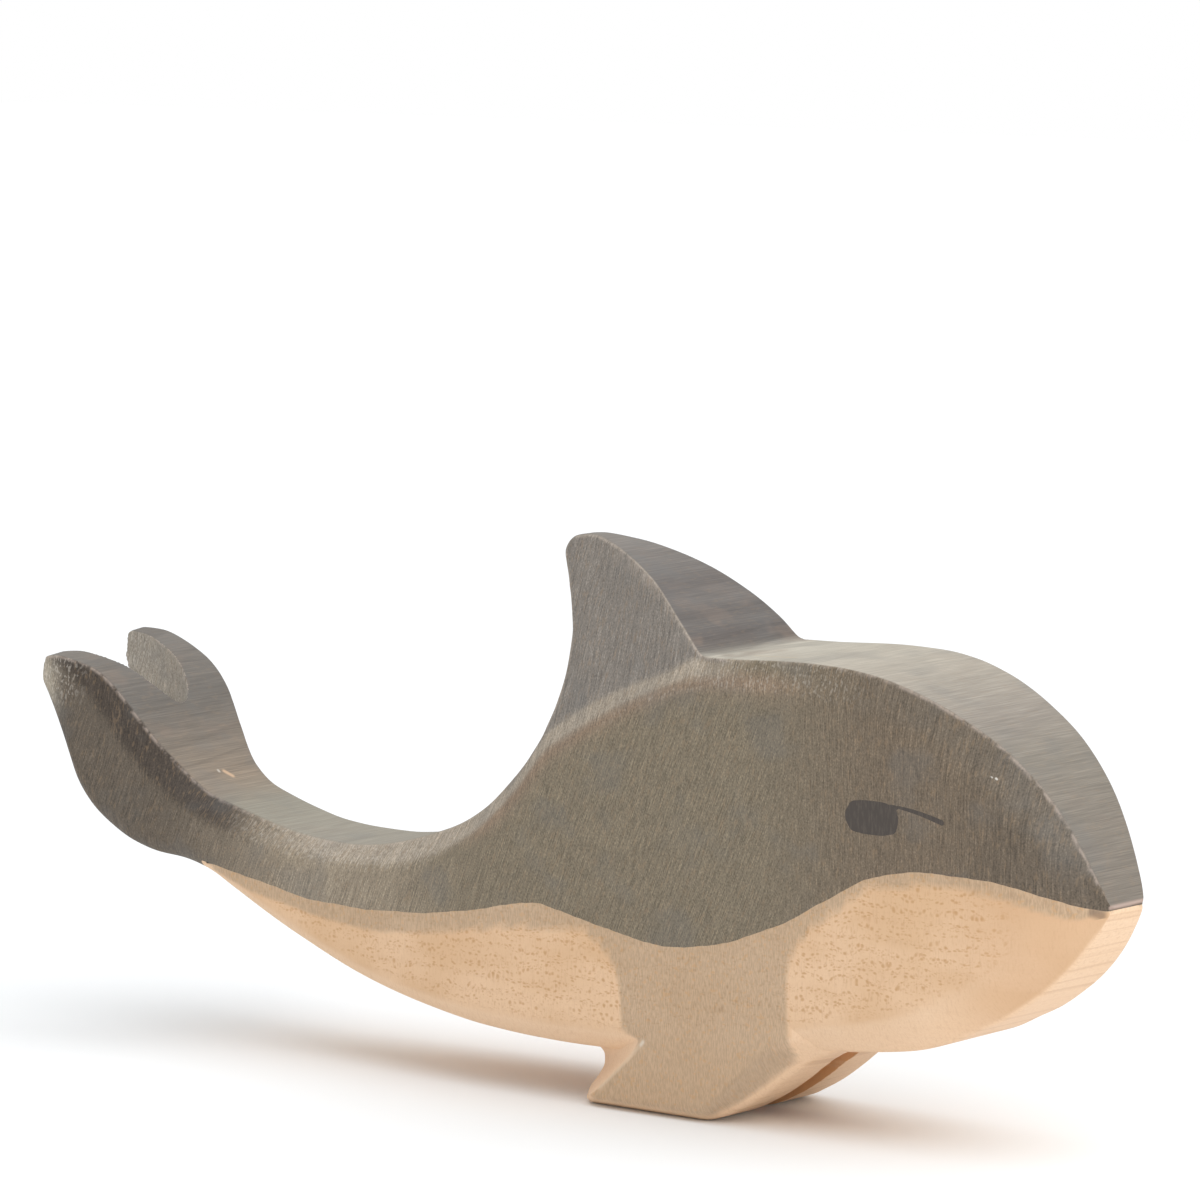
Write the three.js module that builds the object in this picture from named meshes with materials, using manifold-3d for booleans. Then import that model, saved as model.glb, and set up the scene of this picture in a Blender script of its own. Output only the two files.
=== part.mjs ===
// A carved maple whale figure, in millimetres: +X to the nose, +Z up, -Y the whale's right side.
// One piece of wood carries a grey stain, a light wash below it, and a painted eye on each side.

import * as THREE from 'three';
import { mergeVertices } from 'three/addons/utils/BufferGeometryUtils.js';
import Module from 'manifold-3d';

// Overall sizes of the figure; its length runs from the nose to the right fluke
const BODY_LENGTH = 224.2;
const FIN_TOP = 95.4;
const BOARD_THICKNESS = 33;

// Widths across the figure, where the wood is narrower than the board
const STOCK_THICKNESS = 24;
const BACK_RIDGE_WIDTH = 29.8;
const STOCK_RIDGE_WIDTH = 15;
const FLUKE_RIDGE_WIDTH = 32.6;
const FIN_TIP_WIDTH = 4.4;
const NOSE_WIDTH = 9.6;
const BELLY_WIDTH = 27;

// The left fluke was left a little longer and higher than the right one
const LEFT_FLUKE_EXTRA_LENGTH = 6;
const LEFT_FLUKE_EXTRA_HEIGHT = 1.9;

// Gap between the flippers, and the notch between the flukes
const SLOT_WIDTH = 6;
const NOTCH_WIDTH = 21.8;
const NOTCH_DEPTH = 19.8;

// Coats: the grey stain, the light wash and the eye paint are drawn this thick
const COAT_THICKNESS = 0.4;
const COAT_GAP = 0.3;
const WASH_SOLE_MARGIN = 1.3;
const WASH_FROM_MIDDLE = 8;

// Painted eye and brow
const EYE_LENGTH = 10.4;
const EYE_HEIGHT = 5.6;
const EYE_FROM_NOSE = 38.8;
const EYE_ABOVE_FLOOR = 55;
const BROW_LENGTH = 13.6;
const BROW_WIDTH = 0.9;

// Fineness of the curves; a fine stretch has a ring at every half station, the rest at whole ones
const FINE_STRETCHES = [[0, 8], [26, 34]];
const EYE_STEPS = 28;

const PROFILE_STATIONS = 54;
const HALF_BOARD = BOARD_THICKNESS / 2;
const { lerp } = THREE.MathUtils;

// Stations count from the fluke tips (0) by way of the tail stock (14), the foot of the fin's rear
// edge (24), the fin tip (31) and the foot of its front edge (38) to the nose (54).

// Upper outline: station, x, z
const UPPER = [
  [0, -110.6, 65.9],
  [1, -109.2, 66.8],
  [2, -106, 67.1],
  [3, -102.2, 66.3],
  [4, -98.8, 65],
  [5, -95.6, 62.8],
  [6, -92.6, 59.9],
  [7, -90, 56.6],
  [8, -87.4, 53.2],
  [9, -84.6, 50],
  [10, -81.2, 46.7],
  [11, -77, 44],
  [12, -71.5, 42.2],
  [13, -65.5, 40.6],
  [14, -58.5, 39.1],
  [15, -51.5, 38.4],
  [16, -44.5, 38.2],
  [17, -37.5, 38.8],
  [18, -30.5, 40.2],
  [19, -24, 42.1],
  [20, -17.5, 44.4],
  [21, -11, 47.9],
  [22, -5, 52.8],
  [23, 0.2, 58],
  [24, 3.6, 62.7],
  [25, 5.3, 67.6],
  [26, 5.7, 73],
  [27, 5.1, 78.6],
  [28, 3.2, 84.2],
  [29, 0.9, 89],
  [30, -0.8, 92.6],
  [31, 0.8, 94.8],
  [32, 5, 95.4],
  [33, 11, 94.4],
  [34, 17, 92.5],
  [35, 23, 89.8],
  [36, 28.5, 86.2],
  [37, 33.6, 82],
  [38, 37.3, 78.6],
  [39, 38.6, 78.3],
  [40, 44, 78.4],
  [42, 59, 79],
  [43, 66.5, 78.8],
  [44, 73.5, 77.5],
  [45, 79.8, 75.7],
  [46, 85.6, 73.5],
  [47, 91, 71],
  [48, 96.2, 67.8],
  [49, 100.8, 63.8],
  [50, 104.8, 59.2],
  [51, 108, 54.2],
  [52, 110.6, 49],
  [53, 112.4, 44.9],
  [54, 113.1, 42.9],
];

// Lower outline, without the flippers: station, x, z
const LOWER = [
  [0, -111.1, 62.8],
  [1, -110.2, 61],
  [2, -109, 58.6],
  [3, -107.6, 55.4],
  [4, -106.3, 52],
  [5, -105.1, 48.6],
  [6, -103.6, 44.4],
  [7, -101.1, 40.6],
  [8, -97.2, 37.2],
  [9, -92.4, 34.4],
  [10, -87, 32.8],
  [11, -81.5, 32.2],
  [12, -75.6, 30.6],
  [13, -69.5, 27.8],
  [15, -54.5, 21.2],
  [17, -38.5, 15.8],
  [19, -23, 12.4],
  [21, -9.5, 10.5],
  [23, 1, 9.8],
  [25, 9, 9.6],
  [28, 17.5, 9.7],
  [31, 24, 9.9],
  [35, 34, 10.7],
  [38, 42.5, 11.8],
  [40, 49.5, 12.9],
  [42, 59, 14.3],
  [43, 65, 14.7],
  [44, 73, 15.5],
  [45, 79.5, 16.4],
  [46, 85, 18],
  [47, 90.3, 20.5],
  [48, 95.2, 22.9],
  [49, 99.6, 25.8],
  [50, 103.4, 28.7],
  [51, 107, 32.3],
  [52, 109.8, 35.9],
  [53, 111.8, 39.1],
  [54, 113, 41.5],
];

// Foot of the fin's face, and elsewhere a line just below the ridge's edge: station, x, z
const FOOT = [
  [22, -4, 51.7],
  [24, 4.6, 62.3],
  [27, 9.6, 65.6],
  [30, 14.6, 68.4],
  [32, 18.8, 70.4],
  [34, 24, 72.5],
  [36, 30.2, 74.7],
  [38, 37.4, 77.8],
  [40, 44, 77.6],
];

// Where the carved bevel below the back meets the flat flank: station, x, z
const FLANK_TOP = [
  [0, -110.7, 65.4],
  [2, -106.2, 65.3],
  [4, -100.8, 61.9],
  [6, -95.8, 56.6],
  [8, -90.8, 50.3],
  [10, -84.3, 43.9],
  [12, -73.3, 38.7],
  [14, -59.6, 35.6],
  [16, -44.5, 34.3],
  [18, -29, 35.6],
  [20, -14.6, 40.6],
  [22, -1.6, 50.2],
  [24, 6.4, 58.9],
  [27, 11.8, 62.1],
  [30, 17, 65],
  [34, 26, 69.3],
  [38, 38.2, 73.6],
  [40, 45, 74.2],
  [42, 59, 74.3],
  [43, 66, 73.8],
  [44, 72.5, 72.4],
  [45, 78, 69.7],
  [46, 83, 66.4],
  [47, 88, 64],
  [48, 93.2, 61.6],
  [49, 98, 58.4],
  [50, 102.3, 54.8],
  [52, 109, 47.6],
  [54, 112.9, 42.6],
];

// Where the lower bevel meets the flat flank: station, x, z
const FLANK_BOTTOM = [
  [0, -110.9, 63.3],
  [2, -108.2, 59.1],
  [4, -105.2, 52.9],
  [6, -102.3, 45.6],
  [8, -96, 39.2],
  [10, -86.6, 34.9],
  [12, -75, 32.4],
  [14, -61.6, 26.2],
  [17, -38.2, 18],
  [19, -22.7, 14.9],
  [21, -9.3, 13.4],
  [24, 5, 13],
  [28, 17.5, 13.1],
  [31, 24, 13.2],
  [35, 34, 14],
  [38, 42.5, 15.2],
  [40, 49.5, 16.4],
  [42, 58.5, 18],
  [44, 73, 21],
  [45, 79.5, 22.6],
  [46, 85, 24.4],
  [48, 94.4, 28.6],
  [50, 102.2, 33.4],
  [52, 108.4, 38],
  [53, 110.8, 40.2],
  [54, 112.8, 41.9],
];

// Width of the ridge along the upper outline: station, width
const RIDGE_WIDTH = [
  [0, 0.97 * FLUKE_RIDGE_WIDTH],
  [2, FLUKE_RIDGE_WIDTH],
  [4, 0.896 * FLUKE_RIDGE_WIDTH],
  [6, 0.834 * FLUKE_RIDGE_WIDTH],
  [8, lerp(STOCK_RIDGE_WIDTH, FLUKE_RIDGE_WIDTH, 0.455)],
  [10, lerp(STOCK_RIDGE_WIDTH, FLUKE_RIDGE_WIDTH, 0.148)],
  [12, lerp(STOCK_RIDGE_WIDTH, FLUKE_RIDGE_WIDTH, 0.034)],
  [13.5, STOCK_RIDGE_WIDTH],
  [16, lerp(STOCK_RIDGE_WIDTH, BACK_RIDGE_WIDTH, 0.176)],
  [19, lerp(STOCK_RIDGE_WIDTH, BACK_RIDGE_WIDTH, 0.351)],
  [21, lerp(STOCK_RIDGE_WIDTH, BACK_RIDGE_WIDTH, 0.595)],
  [24, lerp(STOCK_RIDGE_WIDTH, BACK_RIDGE_WIDTH, 0.824)],
  [26, lerp(FIN_TIP_WIDTH, BACK_RIDGE_WIDTH, 0.622)],
  [28, lerp(FIN_TIP_WIDTH, BACK_RIDGE_WIDTH, 0.268)],
  [30, lerp(FIN_TIP_WIDTH, BACK_RIDGE_WIDTH, 0.016)],
  [31, 0.955 * FIN_TIP_WIDTH],
  [32, FIN_TIP_WIDTH],
  [33, lerp(FIN_TIP_WIDTH, BACK_RIDGE_WIDTH, 0.165)],
  [35, lerp(FIN_TIP_WIDTH, BACK_RIDGE_WIDTH, 0.528)],
  [37, lerp(FIN_TIP_WIDTH, BACK_RIDGE_WIDTH, 0.866)],
  [38, lerp(FIN_TIP_WIDTH, BACK_RIDGE_WIDTH, 0.929)],
  [39, BACK_RIDGE_WIDTH],
  [43, BACK_RIDGE_WIDTH],
  [45, lerp(NOSE_WIDTH, BACK_RIDGE_WIDTH, 0.901)],
  [47, lerp(NOSE_WIDTH, BACK_RIDGE_WIDTH, 0.713)],
  [49, lerp(NOSE_WIDTH, BACK_RIDGE_WIDTH, 0.485)],
  [51, lerp(NOSE_WIDTH, BACK_RIDGE_WIDTH, 0.257)],
  [53, lerp(NOSE_WIDTH, BACK_RIDGE_WIDTH, 0.059)],
  [54, NOSE_WIDTH],
];

// Width across the foot line: station, width
const FOOT_WIDTH = [
  [24, 0.94 * BACK_RIDGE_WIDTH],
  [31, 0.946 * BACK_RIDGE_WIDTH],
  [38, 0.966 * BACK_RIDGE_WIDTH],
];

// Width between the flanks: station, width
const FLANK_WIDTH = [
  [0, 0.988 * BOARD_THICKNESS],
  [2, BOARD_THICKNESS],
  [5, lerp(STOCK_THICKNESS, BOARD_THICKNESS, 0.911)],
  [7, lerp(STOCK_THICKNESS, BOARD_THICKNESS, 0.711)],
  [9, lerp(STOCK_THICKNESS, BOARD_THICKNESS, 0.4)],
  [11, lerp(STOCK_THICKNESS, BOARD_THICKNESS, 0.089)],
  [13, STOCK_THICKNESS],
  [15, lerp(STOCK_THICKNESS, BOARD_THICKNESS, 0.111)],
  [18, lerp(STOCK_THICKNESS, BOARD_THICKNESS, 0.556)],
  [20, lerp(STOCK_THICKNESS, BOARD_THICKNESS, 0.844)],
  [23, BOARD_THICKNESS],
  [45, BOARD_THICKNESS],
  [46, lerp(NOSE_WIDTH, BOARD_THICKNESS, 0.991)],
  [47, lerp(NOSE_WIDTH, BOARD_THICKNESS, 0.966)],
  [48, lerp(NOSE_WIDTH, BOARD_THICKNESS, 0.915)],
  [49, lerp(NOSE_WIDTH, BOARD_THICKNESS, 0.82)],
  [50, lerp(NOSE_WIDTH, BOARD_THICKNESS, 0.692)],
  [51, lerp(NOSE_WIDTH, BOARD_THICKNESS, 0.513)],
  [52, lerp(NOSE_WIDTH, BOARD_THICKNESS, 0.325)],
  [53, lerp(NOSE_WIDTH, BOARD_THICKNESS, 0.137)],
  [54, lerp(NOSE_WIDTH, BOARD_THICKNESS, 0.017)],
];

// Width of the underside along the lower outline: station, width
const UNDERSIDE_WIDTH = [
  [0, 0.945 * BOARD_THICKNESS],
  [4, 0.915 * BOARD_THICKNESS],
  [7, 0.848 * BOARD_THICKNESS],
  [10, 0.992 * STOCK_THICKNESS],
  [12, 0.892 * STOCK_THICKNESS],
  [15, 0.933 * STOCK_THICKNESS],
  [18, 0.948 * BELLY_WIDTH],
  [21, BELLY_WIDTH],
  [40, 0.963 * BELLY_WIDTH],
  [43, 0.956 * BELLY_WIDTH],
  [45, lerp(NOSE_WIDTH, BELLY_WIDTH, 0.782)],
  [47, lerp(NOSE_WIDTH, BELLY_WIDTH, 0.552)],
  [49, lerp(NOSE_WIDTH, BELLY_WIDTH, 0.391)],
  [51, lerp(NOSE_WIDTH, BELLY_WIDTH, 0.241)],
  [53, lerp(NOSE_WIDTH, BELLY_WIDTH, 0.08)],
  [54, NOSE_WIDTH],
];

// Flipper pair seen from the side: x and z of its edge, half its width there in shares of the
// underside's, and x and z of the flank's edge beside it
const FLIPPER = [
  [16, 12.5, 0.78, 29, 15],
  [13.8, 9, 0.76, 27, 12.4],
  [14, 7, 0.75, 24.6, 9.9],
  [13.2, 4.4, 0.82, 21.3, 6.8],
  [12.3, 2.2, 0.92, 17.9, 3.8],
  [12.4, 0.8, 0.97, 15.6, 2.1],
  [14.2, 0, 0.99, 16.8, 1.5],
  [25, 0, 0.99, 26, 1.5],
  [37, 0, 0.99, 38.4, 1.8],
  [41, 0.8, 0.98, 41.6, 3.3],
  [44.2, 2.3, 0.97, 44.2, 5.6],
  [47.6, 4.2, 0.96, 47, 8.4],
  [52, 7.2, 0.93, 50.3, 11.4],
  [56.2, 10.4, 0.9, 53.5, 13.9],
  [60.4, 13, 0.88, 56, 15.4],
  [63.4, 14.6, 0.88, 58.5, 17.4],
  [62, 19, 0.86, 58, 19.5],
  [20, 19, 0.9, 28, 19.5],
];

// Roof of the gap between the flippers, sloping up to the front, behind and ahead of both of them
const SLOT_ROOF_REAR = [11.5, 9.8];
const SLOT_ROOF_FRONT = [66, 13.1];

// Lower edge of the grey stain, tail to nose: x, z
const STAIN_EDGE = [
  [-76.4, 32.3],
  [-64, 30.4],
  [-52, 28.4],
  [-42, 28],
  [-33, 28.2],
  [-20, 29.3],
  [-8, 31.4],
  [0, 33.2],
  [4.5, 33.7],
  [9.4, 32.8],
  [20.4, 30.8],
  [26, 29.7],
  [31.5, 29.3],
  [38, 29.8],
  [44, 31.1],
  [50.5, 33.3],
  [58, 36.5],
  [63, 39.3],
  [68.2, 42.2],
  [73.2, 44.7],
  [78.4, 46.2],
  [83.4, 46.9],
  [88, 47],
  [92.2, 46.9],
  [96.5, 46.6],
  [101, 45.9],
  [106.5, 44.7],
  [111.2, 43.7],
  [116, 43.2],
];

// Lower edge of the wash, tail to flipper, and from the flipper's front to the nose: x, z
const WASH_EDGE_REAR = [
  [-73.5, 30.6],
  [-64, 28],
  [-54.6, 26.4],
  [-46, 25.2],
  [-37.5, 24.6],
  [-29, 24.9],
  [-13, 27.1],
  [-2, 28.8],
  [9.4, 29.8],
  [12.7, 30],
  [16.1, 29.2],
  [19.3, 26.9],
  [21.3, 24.4],
  [22.3, 20.3],
  [22.6, 14],
];
const WASH_EDGE_FRONT = [
  [57.4, 16.6],
  [57.3, 27],
  [58.1, 30.8],
  [60, 33.4],
  [63, 36],
  [67, 38.7],
  [71.2, 41.9],
  [75.2, 43.6],
  [80, 44.3],
  [88, 45],
  [92.3, 44.8],
  [97, 44.4],
  [103, 43],
  [109, 41.9],
  [116, 41.4],
];

// Edge of the wash round the flipper's foot, rear to front: x, z
const WASH_EDGE_FLIPPER = [
  [25.8, 12.4],
  [24.9, 9.9],
  [21.6, 6.9],
  [17.9, 3.6],
  [15.8, 2],
];
const WASH_EDGE_BEVEL = [
  [41.2, 1.8],
  [43.8, 3],
  [46.8, 5],
  [51.2, 8.2],
  [55, 11.1],
  [57.2, 13.2],
];

// Colours and surfaces
const FINISHES = {
  maple: { color: 0xddbd96, roughness: 0.62, metalness: 0 },
  stain: { color: 0x7a7266, roughness: 0.6, metalness: 0 },
  wash: { color: 0xbca689, roughness: 0.62, metalness: 0 },
  paint: { color: 0x4f4945, roughness: 0.55, metalness: 0 },
};

const wasm = await Module();
wasm.setup();

// Places the drawn outline at the figure's own length and height
const outlineNose = Math.max(...UPPER.map(([, x]) => x));
const outlineFluke = Math.min(...LOWER.map(([, x]) => x));
const outlineTop = Math.max(...UPPER.map(([, , z]) => z));
const drawnX = (x) => (x * BODY_LENGTH) / (outlineNose - outlineFluke);
const drawnZ = (z) => (z * FIN_TOP) / outlineTop;

// Smooth curve through rows of [position, value, ...] that never swings past its points
function through(rows) {
  const last = rows.length - 1;
  const slope = (row, column) =>
    (rows[row + 1][column] - rows[row][column]) / (rows[row + 1][0] - rows[row][0]);
  const tangent = (row, column) => {
    if (row === 0) return slope(0, column);
    if (row === last) return slope(last - 1, column);
    const before = slope(row - 1, column);
    const after = slope(row, column);
    return before * after > 0 ? (2 * before * after) / (before + after) : 0;
  };
  return (position) => {
    let row = rows.findIndex((knot) => knot[0] > position) - 1;
    if (row < 0) row = position < rows[0][0] ? 0 : last - 1;
    const span = rows[row + 1][0] - rows[row][0];
    const t = THREE.MathUtils.clamp((position - rows[row][0]) / span, 0, 1);
    const startShare = (1 + 2 * t) * (1 - t) ** 2;
    const endShare = t * t * (3 - 2 * t);
    const startBend = t * (1 - t) ** 2 * span;
    const endBend = t * t * (t - 1) * span;
    return rows[row].slice(1).map((value, index) => {
      const column = index + 1;
      return startShare * value + endShare * rows[row + 1][column]
        + startBend * tangent(row, column) + endBend * tangent(row + 1, column);
    });
  };
}

// Turns vertices and faces into a geometry that holds positions only
function geometryOf(vertices, faces) {
  const geometry = new THREE.BufferGeometry();
  geometry.setAttribute('position', new THREE.Float32BufferAttribute(vertices.flat(), 3));
  geometry.setIndex(faces.flat());
  return geometry;
}

function solidOf(geometry) {
  const bare = geometry.clone();
  bare.deleteAttribute('normal');
  bare.deleteAttribute('uv');
  const merged = mergeVertices(bare, 1e-4);
  return new wasm.Manifold(new wasm.Mesh({
    numProp: 3,
    vertProperties: new Float32Array(merged.attributes.position.array),
    triVerts: new Uint32Array(merged.index.array),
  }));
}

// Moves every vertex inward along its normal, so that each face moves in by the inset
function insetGeometry(geometry, inset) {
  if (inset === 0) return geometry;
  const position = geometry.attributes.position;
  const index = geometry.index.array;
  const corners = new Array(position.count).fill(null).map(() => []);
  const [a, b, c] = [new THREE.Vector3(), new THREE.Vector3(), new THREE.Vector3()];
  for (let i = 0; i < index.length; i += 3) {
    const face = [index[i], index[i + 1], index[i + 2]];
    const [pa, pb, pc] = face.map((v, k) => [a, b, c][k].fromBufferAttribute(position, v));
    const normal = new THREE.Vector3().crossVectors(pb.clone().sub(pa), pc.clone().sub(pa));
    if (normal.length() < 1e-9) continue;
    normal.normalize();
    const points = [pa.clone(), pb.clone(), pc.clone()];
    face.forEach((vertex, k) => {
      const toNext = points[(k + 1) % 3].clone().sub(points[k]);
      const toLast = points[(k + 2) % 3].clone().sub(points[k]);
      corners[vertex].push({ normal, angle: toNext.angleTo(toLast) });
    });
  }
  const moved = [];
  for (let v = 0; v < position.count; v += 1) {
    const mean = new THREE.Vector3();
    corners[v].forEach(({ normal, angle }) => mean.addScaledVector(normal, angle));
    mean.normalize();
    let facing = 0;
    let total = 0;
    corners[v].forEach(({ normal, angle }) => {
      facing += angle * normal.dot(mean);
      total += angle;
    });
    const point = new THREE.Vector3().fromBufferAttribute(position, v);
    moved.push(point.addScaledVector(mean, (-inset * total) / facing).toArray());
  }
  const faces = [];
  for (let i = 0; i < index.length; i += 3) faces.push([index[i], index[i + 1], index[i + 2]]);
  return geometryOf(moved, faces);
}

// Body, fin and flukes: rings round the body at each station, joined from fluke tip to nose
function trunkGeometry() {
  const upper = through(UPPER);
  const lower = through(LOWER);
  const foot = through(FOOT);
  const flankTop = through(FLANK_TOP);
  const flankBottom = through(FLANK_BOTTOM);
  const half = (table) => {
    const width = through(table);
    return (station) => width(station)[0] / 2;
  };
  const ridge = half(RIDGE_WIDTH);
  const footHalf = half(FOOT_WIDTH);
  const flank = half(FLANK_WIDTH);
  const underside = half(UNDERSIDE_WIDTH);
  const finStart = FOOT[0][0];
  const finEnd = FOOT[FOOT.length - 1][0];
  const arrisShare = 0.28;
  const finBlend = 2;
  const flukeBlend = 5;
  const pointsAboveFlank = 3;
  const finFootShare = (station) => {
    const rise = THREE.MathUtils.smoothstep(station, finStart, finStart + finBlend);
    return rise * (1 - THREE.MathUtils.smoothstep(station, finEnd - finBlend, finEnd));
  };
  const ring = (station) => {
    const [ux, uz] = upper(station);
    const [tx, tz] = flankTop(station);
    const [fx, fz] = foot(station);
    const share = finFootShare(station);
    const arris = [
      lerp(ux, tx, arrisShare),
      lerp(ridge(station), flank(station), arrisShare),
      lerp(uz, tz, arrisShare),
    ];
    const footPoint = [fx, footHalf(station), fz];
    const middle = arris.map((value, axis) => lerp(value, footPoint[axis], share));
    const [bx, bz] = flankBottom(station);
    const [lx, lz] = lower(station);
    const side = [
      [ux, ridge(station), uz],
      middle,
      [tx, flank(station), tz],
      [bx, flank(station), bz],
      [lx, underside(station), lz],
    ];
    const longer = 1 - THREE.MathUtils.smoothstep(station, 0.5, flukeBlend);
    const higher = 1 - THREE.MathUtils.smoothstep(station, 0, flukeBlend);
    const left = side.map(([x, y, z], row) => [
      x - longer * LEFT_FLUKE_EXTRA_LENGTH,
      y,
      row < pointsAboveFlank ? z + higher * LEFT_FLUKE_EXTRA_HEIGHT : z,
    ]);
    const right = side.map(([x, y, z]) => [x, -y, z]).reverse();
    return [...left, ...right];
  };
  const rings = [];
  for (let station = 0; station <= PROFILE_STATIONS; station += 1) {
    rings.push(ring(station));
    const fine = FINE_STRETCHES.some(([from, to]) => station >= from && station < to);
    if (fine) rings.push(ring(station + 0.5));
  }
  const size = rings[0].length;
  const vertices = rings.flat().map(([x, y, z]) => [drawnX(x), y, drawnZ(z)]);
  const faces = [];
  for (let r = 0; r + 1 < rings.length; r += 1) {
    for (let k = 0; k < size; k += 1) {
      const next = (k + 1) % size;
      const [p, q] = [r * size + k, r * size + next];
      const [s, t] = [p + size, q + size];
      faces.push([p, s, t], [p, t, q]);
    }
  }
  const end = (rings.length - 1) * size;
  const pairs = size / 2;
  for (let k = 0; k + 1 < pairs; k += 1) {
    const mirror = size - 1 - k;
    faces.push([k, k + 1, mirror - 1], [k, mirror - 1, mirror]);
    faces.push([end + k, end + mirror - 1, end + k + 1], [end + k, end + mirror, end + mirror - 1]);
  }
  return geometryOf(vertices, faces);
}

// Flipper pair as one block: edge band across, bevel bands beside it, and the two flat flanks
function flipperGeometry() {
  const count = FLIPPER.length;
  const rows = FLIPPER.map(([x, z, share, flankX, flankZ]) => ({
    edge: [drawnX(x), (share * BELLY_WIDTH) / 2, drawnZ(z)],
    flank: [drawnX(flankX), HALF_BOARD, drawnZ(flankZ)],
  }));
  const mirrored = ([x, y, z]) => [x, -y, z];
  const vertices = [
    ...rows.map((row) => row.flank),
    ...rows.map((row) => row.edge),
    ...rows.map((row) => mirrored(row.edge)),
    ...rows.map((row) => mirrored(row.flank)),
  ];
  const faces = [];
  for (let band = 0; band < 3; band += 1) {
    for (let k = 0; k < count; k += 1) {
      const next = (k + 1) % count;
      const [p, q] = [band * count + k, band * count + next];
      faces.push([p, q, q + count], [p, q + count, p + count]);
    }
  }
  const outline = rows.map(({ flank }) => new THREE.Vector2(flank[0], flank[2]));
  THREE.ShapeUtils.triangulateShape(outline, []).forEach(([a, b, c]) => {
    faces.push([c, b, a], [3 * count + a, 3 * count + b, 3 * count + c]);
  });
  return geometryOf(vertices, faces);
}

// Prism with an outline in the XZ plane, from one y to another
function sidePrism(outline, fromY, toY) {
  const shape = new THREE.Shape(outline.map(([x, z]) => new THREE.Vector2(x, z)));
  const geometry = new THREE.ExtrudeGeometry(shape, { depth: toY - fromY, bevelEnabled: false, steps: 1 });
  geometry.rotateX(Math.PI / 2);
  geometry.translate(0, toY, 0);
  return solidOf(geometry);
}

// Prism with an outline in the XY plane, tall enough to pass through the whole figure
function uprightPrism(outline) {
  const shape = new THREE.Shape(outline.map(([x, y]) => new THREE.Vector2(x, y)));
  const geometry = new THREE.ExtrudeGeometry(shape, { depth: 3 * FIN_TOP, bevelEnabled: false, steps: 1 });
  geometry.translate(0, 0, -FIN_TOP);
  return solidOf(geometry);
}

// Outline moved outward by a distance, corner by corner
function grown(outline, distance) {
  if (distance === 0) return outline;
  const points = outline.map(([x, z]) => new THREE.Vector2(x, z));
  const turn = THREE.ShapeUtils.isClockWise(points) ? -1 : 1;
  const sharpestCosine = 0.4;
  const outward = (from, to) => {
    const along = to.clone().sub(from).normalize();
    return new THREE.Vector2(along.y * turn, -along.x * turn);
  };
  return points.map((point, index) => {
    const before = outward(points.at(index - 1), point);
    const after = outward(point, points[(index + 1) % points.length]);
    const mean = before.clone().add(after).normalize();
    const reach = distance / Math.max(mean.dot(after), sharpestCosine);
    return point.clone().addScaledVector(mean, reach).toArray();
  });
}

const drawn = (rows) => rows.map(([x, z]) => [drawnX(x), drawnZ(z)]);

// Gap between the flippers, wider and higher by the inset
function slotSolid(inset) {
  const [rear, front] = drawn([SLOT_ROOF_REAR, SLOT_ROOF_FRONT]);
  const outline = [
    [rear[0] - inset, -FIN_TOP],
    [front[0] + inset, -FIN_TOP],
    [front[0] + inset, front[1] + inset],
    [rear[0] - inset, rear[1] + inset],
  ];
  return sidePrism(outline, -SLOT_WIDTH / 2 - inset, SLOT_WIDTH / 2 + inset);
}

// Notch between the flukes: a parabola in plan, round at its inner end
function notchSolid(inset) {
  const open = drawnX(outlineFluke);
  const reach = 1 + LEFT_FLUKE_EXTRA_LENGTH / NOTCH_DEPTH;
  const depths = [0, 0.02, 0.08, 0.18, 0.32, 0.5, 0.75, reach, reach + 0.5];
  const side = depths.map((share) => [
    open + NOTCH_DEPTH * (1 - share),
    (NOTCH_WIDTH / 2) * Math.sqrt(share),
  ]);
  const other = side.slice(1).map(([x, y]) => [x, -y]).reverse();
  return uprightPrism(grown([...other, ...side], inset));
}

// The whole figure with every surface moved inward by the inset
function whale(inset) {
  const trunk = solidOf(insetGeometry(trunkGeometry(), inset));
  const flippers = solidOf(insetGeometry(flipperGeometry(), inset));
  return trunk.add(flippers).subtract(slotSolid(inset)).subtract(notchSolid(inset));
}

// Everything above the stain's lower edge, and all of the flukes
function stainZone(grow) {
  const edge = drawn(STAIN_EDGE);
  const [tail, nose] = [edge[0], edge.at(-1)];
  const outline = [
    [tail[0], 0],
    ...edge,
    [2 * nose[0], nose[1]],
    [2 * nose[0], 2 * FIN_TOP],
    [-BODY_LENGTH, 2 * FIN_TOP],
    [-BODY_LENGTH, 0],
  ];
  return sidePrism(grown(outline, grow), -BOARD_THICKNESS, BOARD_THICKNESS);
}

// Band below the stain and the face of one flipper, on the side given by its sign
function washZone(sign, grow) {
  const top = drawn(STAIN_EDGE).map(([x, z]) => [x, z - COAT_GAP]);
  const sole = [
    [drawnX(WASH_EDGE_FLIPPER.at(-1)[0]) + WASH_SOLE_MARGIN / 2, WASH_SOLE_MARGIN],
    [drawnX(WASH_EDGE_BEVEL[0][0]) - WASH_SOLE_MARGIN, WASH_SOLE_MARGIN],
  ];
  const bottom = [
    ...drawn(WASH_EDGE_REAR),
    ...drawn(WASH_EDGE_FLIPPER),
    ...sole,
    ...drawn(WASH_EDGE_BEVEL),
    ...drawn(WASH_EDGE_FRONT),
  ];
  const outline = grown([...bottom, ...top.reverse()], grow);
  const inner = WASH_FROM_MIDDLE - grow;
  return sign > 0
    ? sidePrism(outline, inner, BOARD_THICKNESS)
    : sidePrism(outline, -BOARD_THICKNESS, -inner);
}

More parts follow.
